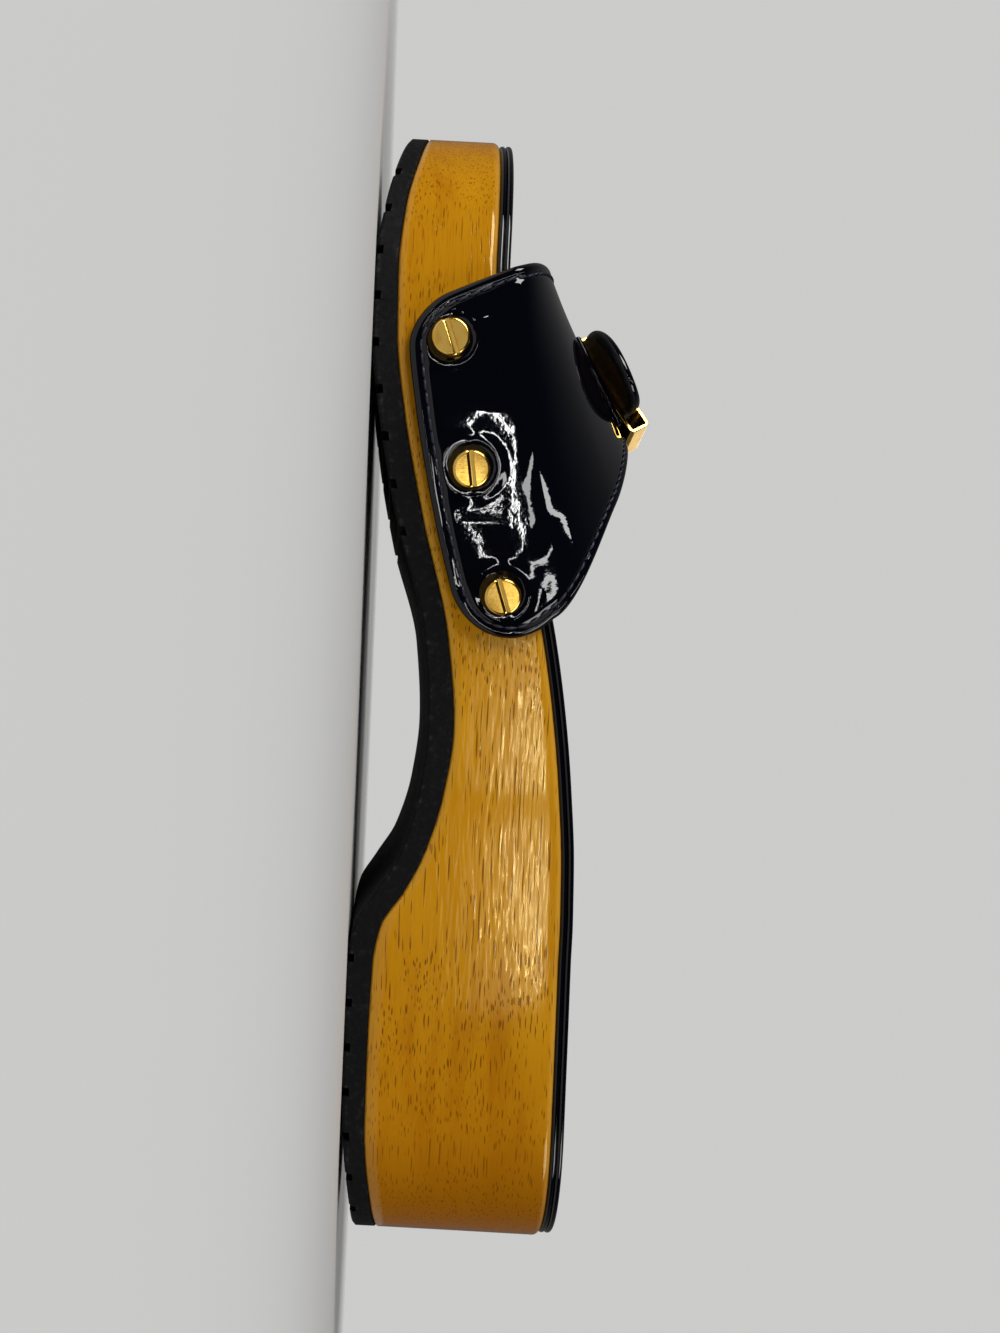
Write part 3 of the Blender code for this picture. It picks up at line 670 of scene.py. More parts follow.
def leather_skins(places, thick, sizes, relief=True):
    """Outer and inner skin of a sheet of leather.

    Both stand off the middle surface by half the thickness times the height of a half circle that closes over
    the last half thickness before the border, so they meet in a round edge. The distance from the border is
    returned with them.
    """
    along, across, lift = places
    normal = band_normal(along, across)
    middle = band_point(along, across) + normal * (lift + 0.5 * thick)[..., None]
    distance = border_distance(middle)
    into = np.clip(1.0 - distance / (0.5 * thick), 0.0, 1.0)
    half = 0.5 * thick * np.sqrt(1.0 - into ** 2)
    raised = half + leather_relief(middle, distance, sizes) if relief else half
    return middle + normal * raised[..., None], middle - normal * half[..., None], distance


def seam_line(edge, lift, inset):
    """Line at an inset from an edge of the band, on the outer skin, with the skin's normal.

    edge is a row of (along, across). The step into the sheet stands square to the edge and to the normal, and
    is turned into steps of along and across by the surface's two slopes.
    """
    along, across = edge[:, 0], edge[:, 1]
    way = unit(np.gradient(band_point(along, across), axis=0))
    step = np.cross(band_normal(along, across), way) * inset
    lengthwise, crosswise = band_slopes(along, across)
    a, b, c = (lengthwise ** 2).sum(-1), (lengthwise * crosswise).sum(-1), (crosswise ** 2).sum(-1)
    p, q = (step * lengthwise).sum(-1), (step * crosswise).sum(-1)
    along = along + (c * p - b * q) / (a * c - b * b)
    across = across + (a * q - b * p) / (a * c - b * b)
    normal = band_normal(along, across)
    return band_point(along, across) + normal * (lift(along) + BAND_THICK)[:, None], normal


def stitch_row(line, normal, sizes):
    """Stitches along a line: closed tubes, each a low arch whose ends dive into the leather.

    The line is cut at equal lengths. A stitch covers most of its pitch, and its height is the square root
    of a half sine.
    """
    radius = 0.5 * sizes.thread_width / MM
    length = np.concatenate([[0.0], np.cumsum(np.linalg.norm(np.diff(line, axis=0), axis=-1))])
    count = int(length[-1] / (sizes.stitch_pitch / MM))
    first, last = STITCH_COVER
    share = np.linspace(first, last, STITCH_RINGS)
    where = (np.arange(count)[:, None] + share) * length[-1] / count

    def along_line(values):
        return np.stack([np.interp(where, length, values[:, axis]) for axis in range(3)], axis=-1)

    centre, up = along_line(line), unit(along_line(normal))
    aside = np.cross(up, unit(np.gradient(centre, axis=1)))
    way = (share - first) / (last - first)
    arch = np.sqrt(np.sin(np.pi * (STITCH_ROOT + (1.0 - 2.0 * STITCH_ROOT) * way)))
    height = radius * (STITCH_HEIGHT[0] * arch - STITCH_HEIGHT[1]) - STITCH_SINK * sizes.seam_depth / MM
    girth = radius * (STITCH_GIRTH[0] + STITCH_GIRTH[1] * arch)
    turn = 2.0 * np.pi * np.arange(STITCH_SIDES) / STITCH_SIDES
    circle = aside[:, :, None] * np.cos(turn)[:, None] + up[:, :, None] * np.sin(turn)[:, None]
    spine = centre[:, :, None] + up[:, :, None] * height[:, None, None]
    tube = spine + circle * girth[:, None, None]
    ends = np.broadcast_to(spine, tube.shape)
    return np.concatenate([ends[:, :1], tube, ends[:, -1:]], axis=1)


# Placements
def placement(x, y, z, origin):
    """Placement from its three axes and its origin in metres."""
    made = Matrix((x, y, z)).transposed().to_4x4()
    made.translation = origin
    return made


def screw_frame(screw):
    """Placement of a screw on the sole's wall: Z outwards, Y upwards as near as the wall allows."""
    side, station, height = screw["side"], screw["station"], screw["height"]
    small = 0.02
    rise = float(outline(side, station + small) - outline(side, station - small)) / (2 * small)
    outwards = Vector((-side * rise, side, WALL_FLARE * math.hypot(1.0, rise))).normalized()
    upwards = (Vector((0, 0, 1)) - outwards * outwards.z).normalized()
    origin = Vector((station - MIDDLE, float(wall(side, station, height)), height)) * MM
    return placement(upwards.cross(outwards), upwards, outwards, origin)


def band_frame(along, across, lift):
    """Placement on the band: X across it to the heel, Y along it to the lateral side, Z outwards."""
    outwards = Vector(band_normal(along, across))
    ahead = Vector(band_slopes(along, across)[0])
    lengthwise = (ahead - outwards * ahead.dot(outwards)).normalized()
    point = Vector(band_point(along, across)) + outwards * lift
    origin = (point - Vector((MIDDLE, 0, 0))) * MM
    return placement(lengthwise.cross(outwards), lengthwise, outwards, origin)


def placed(points, place):
    """Points in millimetres in a placement's own axes, moved to the shoe's frame in stations."""
    turn = np.array(place.to_3x3())
    shift = np.array(place.translation) / MM + np.array([MIDDLE, 0.0, 0.0])
    return points @ turn.T + shift


# Meshes
def grid_faces(rows, across, wrap):
    """Corner numbers of the faces of a grid whose points are numbered row by row."""
    row = np.arange(rows - 1)[:, None] * across
    here = np.arange(across if wrap else across - 1)[None, :]
    after = (here + 1) % across
    corners = [row + here, row + after, row + across + after, row + across + here]
    return np.stack(corners, axis=-1).reshape(-1, 4)


def add_object(name, data):
    """New object in the scene."""
    made = bpy.data.objects.new(name, data)
    bpy.context.scene.collection.objects.link(made)
    return made


def make_piece(name, patches, materials, replaces=(), sharp=40.0, marks=None):
    """One welded mesh from grids of points in millimetres, in the part's frame, riding on the shoe.

    A patch is (grid, wrap, material number). marks holds one value for each point of the patches in turn.
    """
    points, faces, numbers, first = [], [], [], 0
    for grid, wrap, number in patches:
        corners = grid_faces(*grid.shape[:2], wrap) + first
        points.append(grid.reshape(-1, 3))
        faces.append(corners)
        numbers.append(np.full(len(corners), number))
        first += grid.shape[0] * grid.shape[1]
    points = (np.concatenate(points) - np.array([MIDDLE, 0.0, 0.0])) * MM
    faces, numbers = np.concatenate(faces), np.concatenate(numbers)
    mesh = bpy.data.meshes.new(name)
    mesh.vertices.add(len(points))
    mesh.vertices.foreach_set("co", points.astype(np.float32).ravel())
    mesh.loops.add(faces.size)
    mesh.loops.foreach_set("vertex_index", faces.astype(np.int32).ravel())
    mesh.polygons.add(len(faces))
    mesh.polygons.foreach_set("loop_start", np.arange(0, faces.size, 4, dtype=np.int32))
    mesh.polygons.foreach_set("material_index", numbers.astype(np.int32))
    if marks is not None:
        layer = mesh.attributes.new("edge", "FLOAT", "POINT")
        layer.data.foreach_set("value", np.concatenate([mark.ravel() for mark in marks]).astype(np.float32))
    for material in materials:
        mesh.materials.append(material)
    mesh.update(calc_edges=True)
    weld_mesh(mesh)
    mesh.shade_smooth()
    mesh.set_sharp_from_angle(angle=math.radians(sharp))
    piece = add_object(name, mesh)
    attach(piece, "root")
    if replaces:
        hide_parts(*replaces)
    return piece


def weld_mesh(mesh):
    """Merge points that coincide and turn the faces outwards."""
    work = bmesh.new()
    work.from_mesh(mesh)
    bmesh.ops.remove_doubles(work, verts=work.verts, dist=WELD_REACH)
    bmesh.ops.dissolve_degenerate(work, edges=work.edges, dist=THIN_FACE)
    bmesh.ops.recalc_face_normals(work, faces=work.faces)
    work.to_mesh(mesh)
    work.free()


# Material nodes
def opaque(colour):
    """Colour with an alpha of one. A socket stays as it is."""
    return colour if isinstance(colour, bpy.types.NodeSocket) else (*colour, 1.0)


def tinted(colour, *scales):
    """Colour times one scale, or one for each of its parts."""
    return tuple(float(part) for part in np.array(colour) * np.array(scales))


class Nodes:
    """Short words for adding nodes to one tree."""

    def __init__(self, tree):
        self.tree = tree

    def add(self, kind, inputs=None, **settings):
        """Add a node. settings are its own options; of its inputs, a socket is linked and a value is set."""
        made = self.tree.nodes.new(f"ShaderNode{kind}")
        for name, value in settings.items():
            setattr(made, name, value)
        for key, value in (inputs or {}).items():
            if isinstance(value, bpy.types.NodeSocket):
                self.tree.links.new(value, made.inputs[key])
            else:
                made.inputs[key].default_value = value
        return made

    def math(self, operation, first, second=0.0):
        """Result of a Math node."""
        return self.add("Math", {0: first, 1: second}, operation=operation).outputs[0]

    def times(self, first, second):
        """Product of two numbers."""
        return self.math("MULTIPLY", first, second)

    def step(self, value, low, high, to_low=0.0, to_high=1.0):
        """Smooth step of a value, scaled to a range."""
        inputs = {"Value": value, "From Min": low, "From Max": high, "To Min": to_low, "To Max": to_high}
        return self.add("MapRange", inputs, interpolation_type="SMOOTHSTEP").outputs[0]

    def mix(self, share, first, second):
        """Mix of two colours."""
        return self.add("Mix", {0: share, 6: opaque(first), 7: opaque(second)}, data_type="RGBA").outputs[2]

    def scaled(self, vector, scale):
        """Vector times a number."""
        return self.add("VectorMath", {0: vector, "Scale": scale}, operation="SCALE").outputs[0]

    def place(self, *size):
        """Object coordinates divided by a size in millimetres: one number, or one for each axis."""
        coordinates = self.add("TexCoord").outputs["Object"]
        scale = tuple(1000.0 / float(part) for part in np.broadcast_to(size, 3))
        return self.add("Mapping", {"Vector": coordinates, "Scale": scale}).outputs[0]

    def noise(self, vector, detail=2.0, roughness=0.5):
        """Noise at a place."""
        inputs = {"Vector": vector, "Scale": 1.0, "Detail": detail, "Roughness": roughness}
        return self.add("TexNoise", inputs, noise_dimensions="3D").outputs["Fac"]

    def edge(self):
        """Mark that a piece carries along its edges."""
        return self.add("Attribute", attribute_name="edge").outputs["Fac"]

    def effect(self, name, **values):
        """Output of a shared effect with its own values."""
        return self.add("Group", values, node_tree=effect_group(name)).outputs[0]


def pebble(nodes, vector, inputs):
    """Fine relief of leather and rubber: rounded cells softened by noise."""
    cells = nodes.add("TexVoronoi", {"Vector": vector, "Scale": 1.0}, feature="SMOOTH_F1").outputs["Distance"]
    return nodes.add("Mix", {0: inputs["Cells"], 2: nodes.noise(vector), 3: cells}).outputs[0]


def dust(nodes, vector, inputs):
    """Dust and scuffs: cloudy patches broken up by fine specks."""
    least = nodes.math("SUBTRACT", 0.75, inputs["Cover"])
    cloud = nodes.step(nodes.noise(vector, 4.0, 0.6), least, 0.85)
    return nodes.times(cloud, nodes.step(nodes.noise(nodes.scaled(vector, 14.0), 3.0, 0.7), 0.45, 0.75))


EFFECTS = {
    "pebble": (pebble, {"Size": 1.0, "Cells": 0.5}, "Height"),
    "dust": (dust, {"Size": 12.0, "Cover": 0.4}, "Mask"),
}


def effect_group(name):
    """Shared effect as a node group with named number sockets, made when it is first asked for.

    Its pattern lies in the object's coordinates, divided by the size in millimetres.
    """
    if name in bpy.data.node_groups:
        return bpy.data.node_groups[name]
    build, inputs, output = EFFECTS[name]
    group = bpy.data.node_groups.new(name, "ShaderNodeTree")
    for label, value in inputs.items():
        socket = group.interface.new_socket(label, in_out="INPUT", socket_type="NodeSocketFloat")
        socket.default_value = value
    group.interface.new_socket(output, in_out="OUTPUT", socket_type="NodeSocketFloat")
    start, end = group.nodes.new("NodeGroupInput"), group.nodes.new("NodeGroupOutput")
    nodes = Nodes(group)
    scale = nodes.math("DIVIDE", 1000.0, start.outputs["Size"])
    vector = nodes.scaled(nodes.add("TexCoord").outputs["Object"], scale)
    group.links.new(build(nodes, vector, start.outputs), end.inputs[output])
    return group


# Finishes: each gives the colour, the roughness, and a relief with its depth in millimetres and its strength
def wood_finish(nodes, colours):
    """Lacquered wood: golden ground with streaks, fibres and dark pores along the shoe.

    The pores are thin tubes along the grain that wander a little, so walls along the grain cut them into
    dashes and the ends cut them into dots. Their furrows and the fibres break up the lacquer's highlights.
    The middle of the shoe is painted paler as painted light and the heel end darker as painted shade. The
    round top edge carries a painted highlight, and the foot a paler line.
    """
    x, y, z = nodes.add("SeparateXYZ", {0: nodes.place(1.0)}).outputs

    def wander(first, reach, along, over):
        """Slow shift of the grain to one side."""
        shift = nodes.math("SUBTRACT", nodes.noise(nodes.place(along, over, over), 1.0), 0.5)
        return nodes.math("ADD", first, nodes.times(shift, reach))

    def stretched(long, over):
        """Place divided by a length along the grain and a size across it, after the grain's wander."""
        parts = {0: (x, long), 1: (wide, over), 2: (high, over)}
        inputs = {number: nodes.math("DIVIDE", *pair) for number, pair in parts.items()}
        return nodes.add("CombineXYZ", inputs).outputs[0]

    beyond = nodes.math("MAXIMUM", nodes.math("SUBTRACT", nodes.math("ABSOLUTE", x), 45.0), 0.0)
    run_out = nodes.times(nodes.times(beyond, beyond), 0.0019)
    wide = nodes.math("ADD", wander(y, 3.4, 24.0, 9.0), run_out)
    high = wander(z, 2.2, 55.0, 13.0)
    tubes = nodes.add("CombineXYZ", {0: wide, 1: high}).outputs[0]
    cells = nodes.add("TexVoronoi", {"Vector": tubes, "Scale": 1.0 / 0.62}, voronoi_dimensions="2D").outputs
    chance = nodes.add("SeparateColor", {0: cells["Color"]}).outputs[0]
    girth = nodes.step(chance, 0.0, 1.0, 0.12, 0.26)
    broken = nodes.noise(stretched(6.5, 0.7), 1.0)
    open_pore = nodes.times(girth, nodes.step(broken, 0.34, 0.52))
    pore = nodes.step(nodes.math("SUBTRACT", open_pore, cells["Distance"]), -0.07, 0.09)
    fibre = nodes.noise(stretched(16.0, 0.42), 3.0, 0.65)
    streak = nodes.step(nodes.noise(stretched(75.0, 4.5), 3.0, 0.6), 0.40, 0.72)
    cloud = nodes.noise(nodes.place(34.0, 20.0, 15.0), 2.0)
    paler = tinted(colours.wood, 1.22, 1.32, 1.6)
    ground = nodes.mix(nodes.times(streak, 0.55), colours.wood, colours.streak)
    ground = nodes.mix(nodes.step(fibre, 0.48, 0.72, 0.0, 0.55), ground, colours.streak)
    ground = nodes.mix(nodes.step(cloud, 0.48, 0.72, 0.0, 0.6), ground, paler)
    # painted light: the middle of the shoe is paler, fading out towards both ends
    ground = nodes.mix(nodes.step(beyond, 0.0, 30.0, 0.4, 0.0), ground, paler)
    # painted shade: darker towards the heel end, in the streaks' colour
    ground = nodes.mix(nodes.step(x, -126.0, -66.0, 1.0, 0.0), ground, colours.streak)
    depth = nodes.step(beyond, 15.0, 60.0, 0.85, 0.6)
    ground = nodes.mix(nodes.times(pore, depth), ground, colours.pore)
    # a paler line along the block's foot, and a painted highlight along the round top edge
    ground = nodes.mix(nodes.times(nodes.edge(), 0.35), ground, (0.62, 0.36, 0.07))
    ripple = nodes.noise(stretched(8.0, 1.1), 1.0)
    calm = nodes.step(beyond, 12.0, 45.0, 0.7, 0.12)
    height = nodes.math("SUBTRACT", nodes.times(ripple, calm), nodes.times(pore, calm))
    return ground, nodes.step(fibre, 0.35, 0.7, 0.05, 0.13), height, 0.05, 1.0


def patent_finish(nodes, colours):
    """Patent leather: near-black, mirror-like, with a faint orange-peel relief and a few specks of dust."""
    specks = nodes.effect("dust", Size=30.0, Cover=0.10)
    colour = nodes.mix(nodes.times(specks, 0.25), colours.patent, (0.20, 0.20, 0.21))
    fine = nodes.effect("pebble", Size=1.3, Cells=0.25)
    height = nodes.math("ADD", nodes.times(fine, 0.9), nodes.effect("pebble", Size=6.0, Cells=0.0))
    return colour, nodes.step(specks, 0.0, 1.0, 0.02, 0.25), height, 0.006, 1.0


def lining_finish(nodes, colours):
    """Brown lining leather with a fine grain, a slight change of tone and black paint along its edge."""
    tone = nodes.step(nodes.noise(nodes.place(14.0), 3.0), 0.35, 0.7)
    colour = nodes.mix(tone, colours.lining, tinted(colours.lining, 0.55))
    colour = nodes.mix(nodes.step(nodes.edge(), 0.4, 0.6), colour, colours.patent)
    grain = nodes.effect("pebble", Size=0.9, Cells=0.8)
    return colour, nodes.step(grain, 0.1, 0.8, 0.42, 0.62), grain, 0.10, 0.7


def footbed_finish(nodes, colours):
    """Black cover of the footbed: smooth leather with a soft sheen, a fine grain and a little dust."""
    specks = nodes.effect("dust", Size=22.0, Cover=0.30)
    base = tuple(1.5 * part + 0.003 for part in colours.patent)
    colour = nodes.mix(nodes.times(specks, 0.18), base, (0.16, 0.155, 0.15))
    grain = nodes.effect("pebble", Size=1.0, Cells=0.7)
    return colour, nodes.step(grain, 0.1, 0.8, 0.28, 0.42), grain, 0.07, 0.6


def rubber_finish(nodes, colours):
    """Matt black rubber with a fine moulded texture, dust, a paler rubbed foot and wall, and a paler top lip.
    """
    specks = nodes.effect("dust", Size=16.0, Cover=0.42)
    nick = nodes.step(nodes.noise(nodes.place(1.6), 3.0, 0.7), 0.5, 0.72)
    pale_edges = nodes.times(nodes.times(nodes.edge(), nick), 0.55)
    cover = nodes.math("MAXIMUM", pale_edges, nodes.times(specks, 0.22))
    colour = nodes.mix(cover, colours.rubber, (0.045, 0.047, 0.046))
    grain = nodes.effect("pebble", Size=0.8, Cells=0.6)
    return colour, nodes.step(grain, 0.1, 0.8, 0.55, 0.75), grain, 0.12, 0.7


def gold_finish(nodes, colours):
    """Polished gold plating with fine rubbing marks and slight dullness in patches."""
    cloud = nodes.step(nodes.noise(nodes.place(2.5), 3.0), 0.4, 0.7)
    colour = nodes.mix(cloud, colours.gold, tinted(colours.gold, 0.88, 0.80, 0.62))
    marks = nodes.noise(nodes.place(0.12, 2.0, 1.1), 2.0)
    return colour, nodes.step(marks, 0.3, 0.75, 0.10, 0.22), marks, 0.010, 0.6


def thread_finish(nodes, colours):
    """Waxed sewing thread with a twisted lay."""
    inputs = {"Vector": nodes.place(1.0), "Scale": 1.1, "Distortion": 1.5}
    lay = nodes.add("TexWave", inputs, bands_direction="DIAGONAL").outputs["Fac"]
    colour = nodes.mix(lay, colours.thread, tinted(colours.thread, 0.4))
    return colour, nodes.step(lay, 0.0, 1.0, 0.38, 0.55), lay, 0.06, 0.8


FINISHES = {
    "lacquered_wood": (wood_finish, {"IOR": 1.5, "Specular Tint": (1.0, 0.84, 0.42, 1.0)}),
    "patent_leather": (patent_finish, {"IOR": 1.5}),
    "lining_leather": (lining_finish, {"IOR": 1.45}),
    "footbed_cover": (footbed_finish, {"IOR": 1.48}),
    "tread_rubber": (rubber_finish, {"IOR": 1.22}),
    "gold_plating": (gold_finish, {"Metallic": 1.0}),
    "sewing_thread": (thread_finish, {"IOR": 1.45}),
}


def new_material(name, constants):
    """Material with a Principled shader, whose constant values go on its own sockets."""
    material = bpy.data.materials.new(name)
    material.use_nodes = True
    shader = material.node_tree.nodes["Principled BSDF"]
    for label, value in constants.items():
        shader.inputs[label].default_value = value
    return material, shader


def finish(name, colours):
    """Material of a finish, made when it is first asked for."""
    if name in bpy.data.materials:
        return bpy.data.materials[name]
    build, constants = FINISHES[name]
    material, shader = new_material(name, constants)
    nodes = Nodes(material.node_tree)
    colour, roughness, height, depth, strength = build(nodes, colours)
    bump = nodes.add("Bump", {"Height": height, "Distance": depth * MM, "Strength": strength}).outputs[0]
    for label, socket in (("Base Color", colour), ("Roughness", roughness), ("Normal", bump)):
        nodes.tree.links.new(socket, shader.inputs[label])
    return material


# Pieces
def side_marks(edge, side, *faces):
    """Marks that follow the rows of a side and are zero on the faces that close it."""
    rows = np.broadcast_to(np.array(edge)[:, None], side.shape[:2])
    return [rows, *(np.zeros(face.shape[:2]) for face in faces)]


def make_wood(scene):
    """The carved block: a wall chamfered below, with a quarter-round edge above, closed by two faces."""
    stations = sole_stations()
    loop = sole_loop(stations)
    seam, deck = sole("seam", loop[0]), sole("deck", loop[0])
    flare = -WALL_FLARE * (deck - seam)
    # the foot of the block is marked for a paler line along it
    insets, heights, edge = [flare + WOOD_CHAMFER], [seam], [WOOD_FOOT_PALE]
    for share in np.linspace(0.0, 1.0, WOOD_WALL_ROWS):
        insets.append(flare * (1.0 - share))
        heights.append(seam + WOOD_CHAMFER + (deck - WOOD_EDGE - seam - WOOD_CHAMFER) * share)
        edge.append(WOOD_FOOT_PALE if share == 0.0 else 0.0)
    for turn in np.linspace(0.0, 0.5 * np.pi, WOOD_EDGE_ROWS)[1:]:
        insets.append(WOOD_EDGE * (1.0 - np.cos(turn)))
        heights.append(deck - WOOD_EDGE + WOOD_EDGE * np.sin(turn))
        # painted highlight: the mark is strongest halfway round the top edge
        edge.append(np.sin(2.0 * turn) ** 2)
    side = sole_rings(loop, insets, heights)
    low = sole_face(side[0], spans=2, sag=0.0)
    high = sole_face(side[-1], spans=8, sag=sole("dish", stations))
    patches = [(side, True, 0), (low, False, 0), (high, False, 0)]
    materials = [finish("lacquered_wood", scene.sandal_colours)]
    marks = side_marks(edge, side, low, high)
    make_piece("wood_block", patches, materials, ("wood_sole",), sharp=50.0, marks=marks)


def make_rubber(scene):
    """The outsole: an underside with a border groove and cross grooves, which also notch its side."""
    middles = np.concatenate([np.arange(first, last, GROOVE_PITCH) for first, last in GROOVE_RUNS])
    half = 0.5 * GROOVE_WIDTH
    steps = np.array([-half - GROOVE_SLOPE, -half, half, half + GROOVE_SLOPE])
    loop = sole_loop(sole_stations((middles[:, None] + steps).ravel()))
    tread, seam, deck = (sole(name, loop[0]) for name in ("tread", "seam", "deck"))
    nearest = np.abs(loop[0][:, None] - middles).min(axis=1)
    notch = GROOVE_DEPTH * (nearest <= half + STATION_SLACK)
    floor = tread + notch
    sunk = tread + np.maximum(notch, BORDER_DEPTH)
    low, high = -WALL_FLARE * (deck - tread), -WALL_FLARE * (deck - seam)
    foot = tread + np.maximum(notch + NOTCH_LIP, RUBBER_CHAMFER)
    top = seam - SEAM_GAP
    outer, inner = BORDER_GROOVE
    insets = [inner, inner - BORDER_SLOPE, outer + BORDER_SLOPE, outer, low + RUBBER_CHAMFER, low]
    heights = [floor, sunk, sunk, floor, floor, foot]
    edge = [0.0, 0.0, 0.0, 0.0, *RUBBER_FOOT_WEAR]
    for share in np.linspace(0.0, 1.0, RUBBER_WALL_ROWS)[1:]:
        insets.append(low + (high - low) * share)
        heights.append(foot + (top - RUBBER_LIP - foot) * share)
        # the top lip is marked for a paler line along it
        edge.append(RUBBER_WALL_WEAR if share < 1.0 else RUBBER_LIP_PALE)
    side = sole_rings(loop, [*insets, high + RUBBER_LIP], [*heights, top])
    under = sole_face(side[0], spans=6, sag=0.0)
    over = sole_face(side[-1], spans=2, sag=0.0)
    patches = [(side, True, 0), (under, False, 0), (over, False, 0)]
    materials = [finish("tread_rubber", scene.sandal_colours)]
    marks = side_marks([*edge, RUBBER_LIP_PALE], side, under, over)
    make_piece("rubber_tread", patches, materials, ("outsole",), sharp=35.0, marks=marks)


def make_footbed(scene):
    """The footbed: an edge of two beads rolled on to a hollow top. Its inset follows a sine of the height."""
    stations = sole_stations()
    loop = sole_loop(stations)
    deck, dish = sole("deck", loop[0]), sole("dish", stations)
    depth = scene.sandal_sizes.bead_depth / MM
    roll_in, roll_up = INSOLE_ROLL
    insets, heights = [INSOLE_INSET + INSOLE_TUCK], [deck + SEAM_GAP]
    for share in np.linspace(0.0, 1.0, BEAD_ROWS):
        bead = abs(math.sin(2.0 * math.pi * share)) ** BEAD_POWER
        insets.append(INSOLE_INSET + depth * (1.0 - bead))
        heights.append(deck + SEAM_GAP + (INSOLE_TOP - SEAM_GAP - roll_up) * share)
    for turn in np.linspace(0.0, 0.5 * math.pi, INSOLE_ROLL_ROWS)[1:]:
        insets.append(INSOLE_INSET + depth + roll_in * math.sin(turn))
        heights.append(deck + INSOLE_TOP - roll_up * math.cos(turn))
    side = sole_rings(loop, insets, heights)
    top = sole_face(side[-1], spans=24, sag=dish)
    under = sole_face(side[0], spans=8, sag=dish - INSOLE_RISE)
    patches = [(side, True, 0), (top, False, 1), (under, False, 0)]
    materials = [finish(name, scene.sandal_colours) for name in ("patent_leather", "footbed_cover")]
    make_piece("footbed", patches, materials, ("insole",), sharp=60.0)


def make_band(scene):
    """Both band halves, patent outside and lining inside, and the folded patent layer under the buckle."""
    sizes = scene.sandal_sizes
    materials = [finish(name, scene.sandal_colours) for name in ("patent_leather", "lining_leather")]
    for name, places in (("band_inner_half", medial_places()), ("band_outer_half", lateral_places())):
        outer, inner, distance = leather_skins(places, BAND_THICK, sizes)
        edge = 1.0 - rising(distance, *EDGE_PAINT)
        patches = [(outer, False, 0), (inner, False, 1)]
        make_piece(name, patches, materials, ("upper",), sharp=80.0, marks=[edge, edge])
    outer, inner, _ = leather_skins(chape_places(), CHAPE_THICK, sizes, relief=False)
    make_piece("buckle_chape", [(outer, False, 0), (inner, False, 0)], materials, sharp=80.0)


def make_stitching(scene):
    """Seams along the edges of both halves."""
    sizes = scene.sandal_sizes
    share = crowded(BAND_STRIPS + 1)
    start = hem_start("medial", share)
    up = np.linspace(0.0, 1.0, SEAM_STEPS)
    front = np.stack([start[0] + (SEAM_END - start[0]) * up[::-1], np.zeros_like(up)], axis=-1)
    rear = np.stack([start[-1] + (SEAM_END - start[-1]) * up, np.ones_like(up)], axis=-1)
    hem = np.stack([start, share], axis=-1)
    inner = np.concatenate([front[:-1], hem, rear[1:]])
    grid = np.stack(lateral_places()[:2], axis=-1)
    outer = np.concatenate([grid[::-1, 0], grid[0, 1:-1], grid[:, -1], grid[-1, -2:0:-1]])[::-1]
    seams = (("seam_inner_half", inner, np.zeros_like), ("seam_outer_half", outer, flap_lift))
    for name, edge, lift in seams:
        line, normal = seam_line(edge, lift, sizes.stitch_inset / MM)
        patches = [(tube, True, 0) for tube in stitch_row(line, normal, sizes)]
        make_piece(name, patches, [finish("sewing_thread", scene.sandal_colours)], sharp=60.0)


def box_path(inset, radius):
    """Closed rounded rectangle of the box frame, moved in by an inset: rows of (across, height)."""
    x, low, high = 0.5 * BUCKLE_WIDTH - inset, inset, BUCKLE_HEIGHT - inset
    turn = np.linspace(0.0, 0.5 * np.pi, 7)
    top, foot = high - radius, low + radius
    corners = ((1, top, 0.0), (-1, top, 0.5), (-1, foot, 1.0), (1, foot, 1.5))
    arcs = []
    for side, middle, start in corners:
        angle = turn + start * np.pi
        across = side * (x - radius) + radius * np.cos(angle)
        arcs.append(np.stack([across, middle + radius * np.sin(angle)], axis=-1))
    half = 0.5 * WINDOW_WIDTH
    window = np.array([[half, high], [0.0, high], [-half, high]])
    return np.concatenate([arcs[0], window, *arcs[1:]])


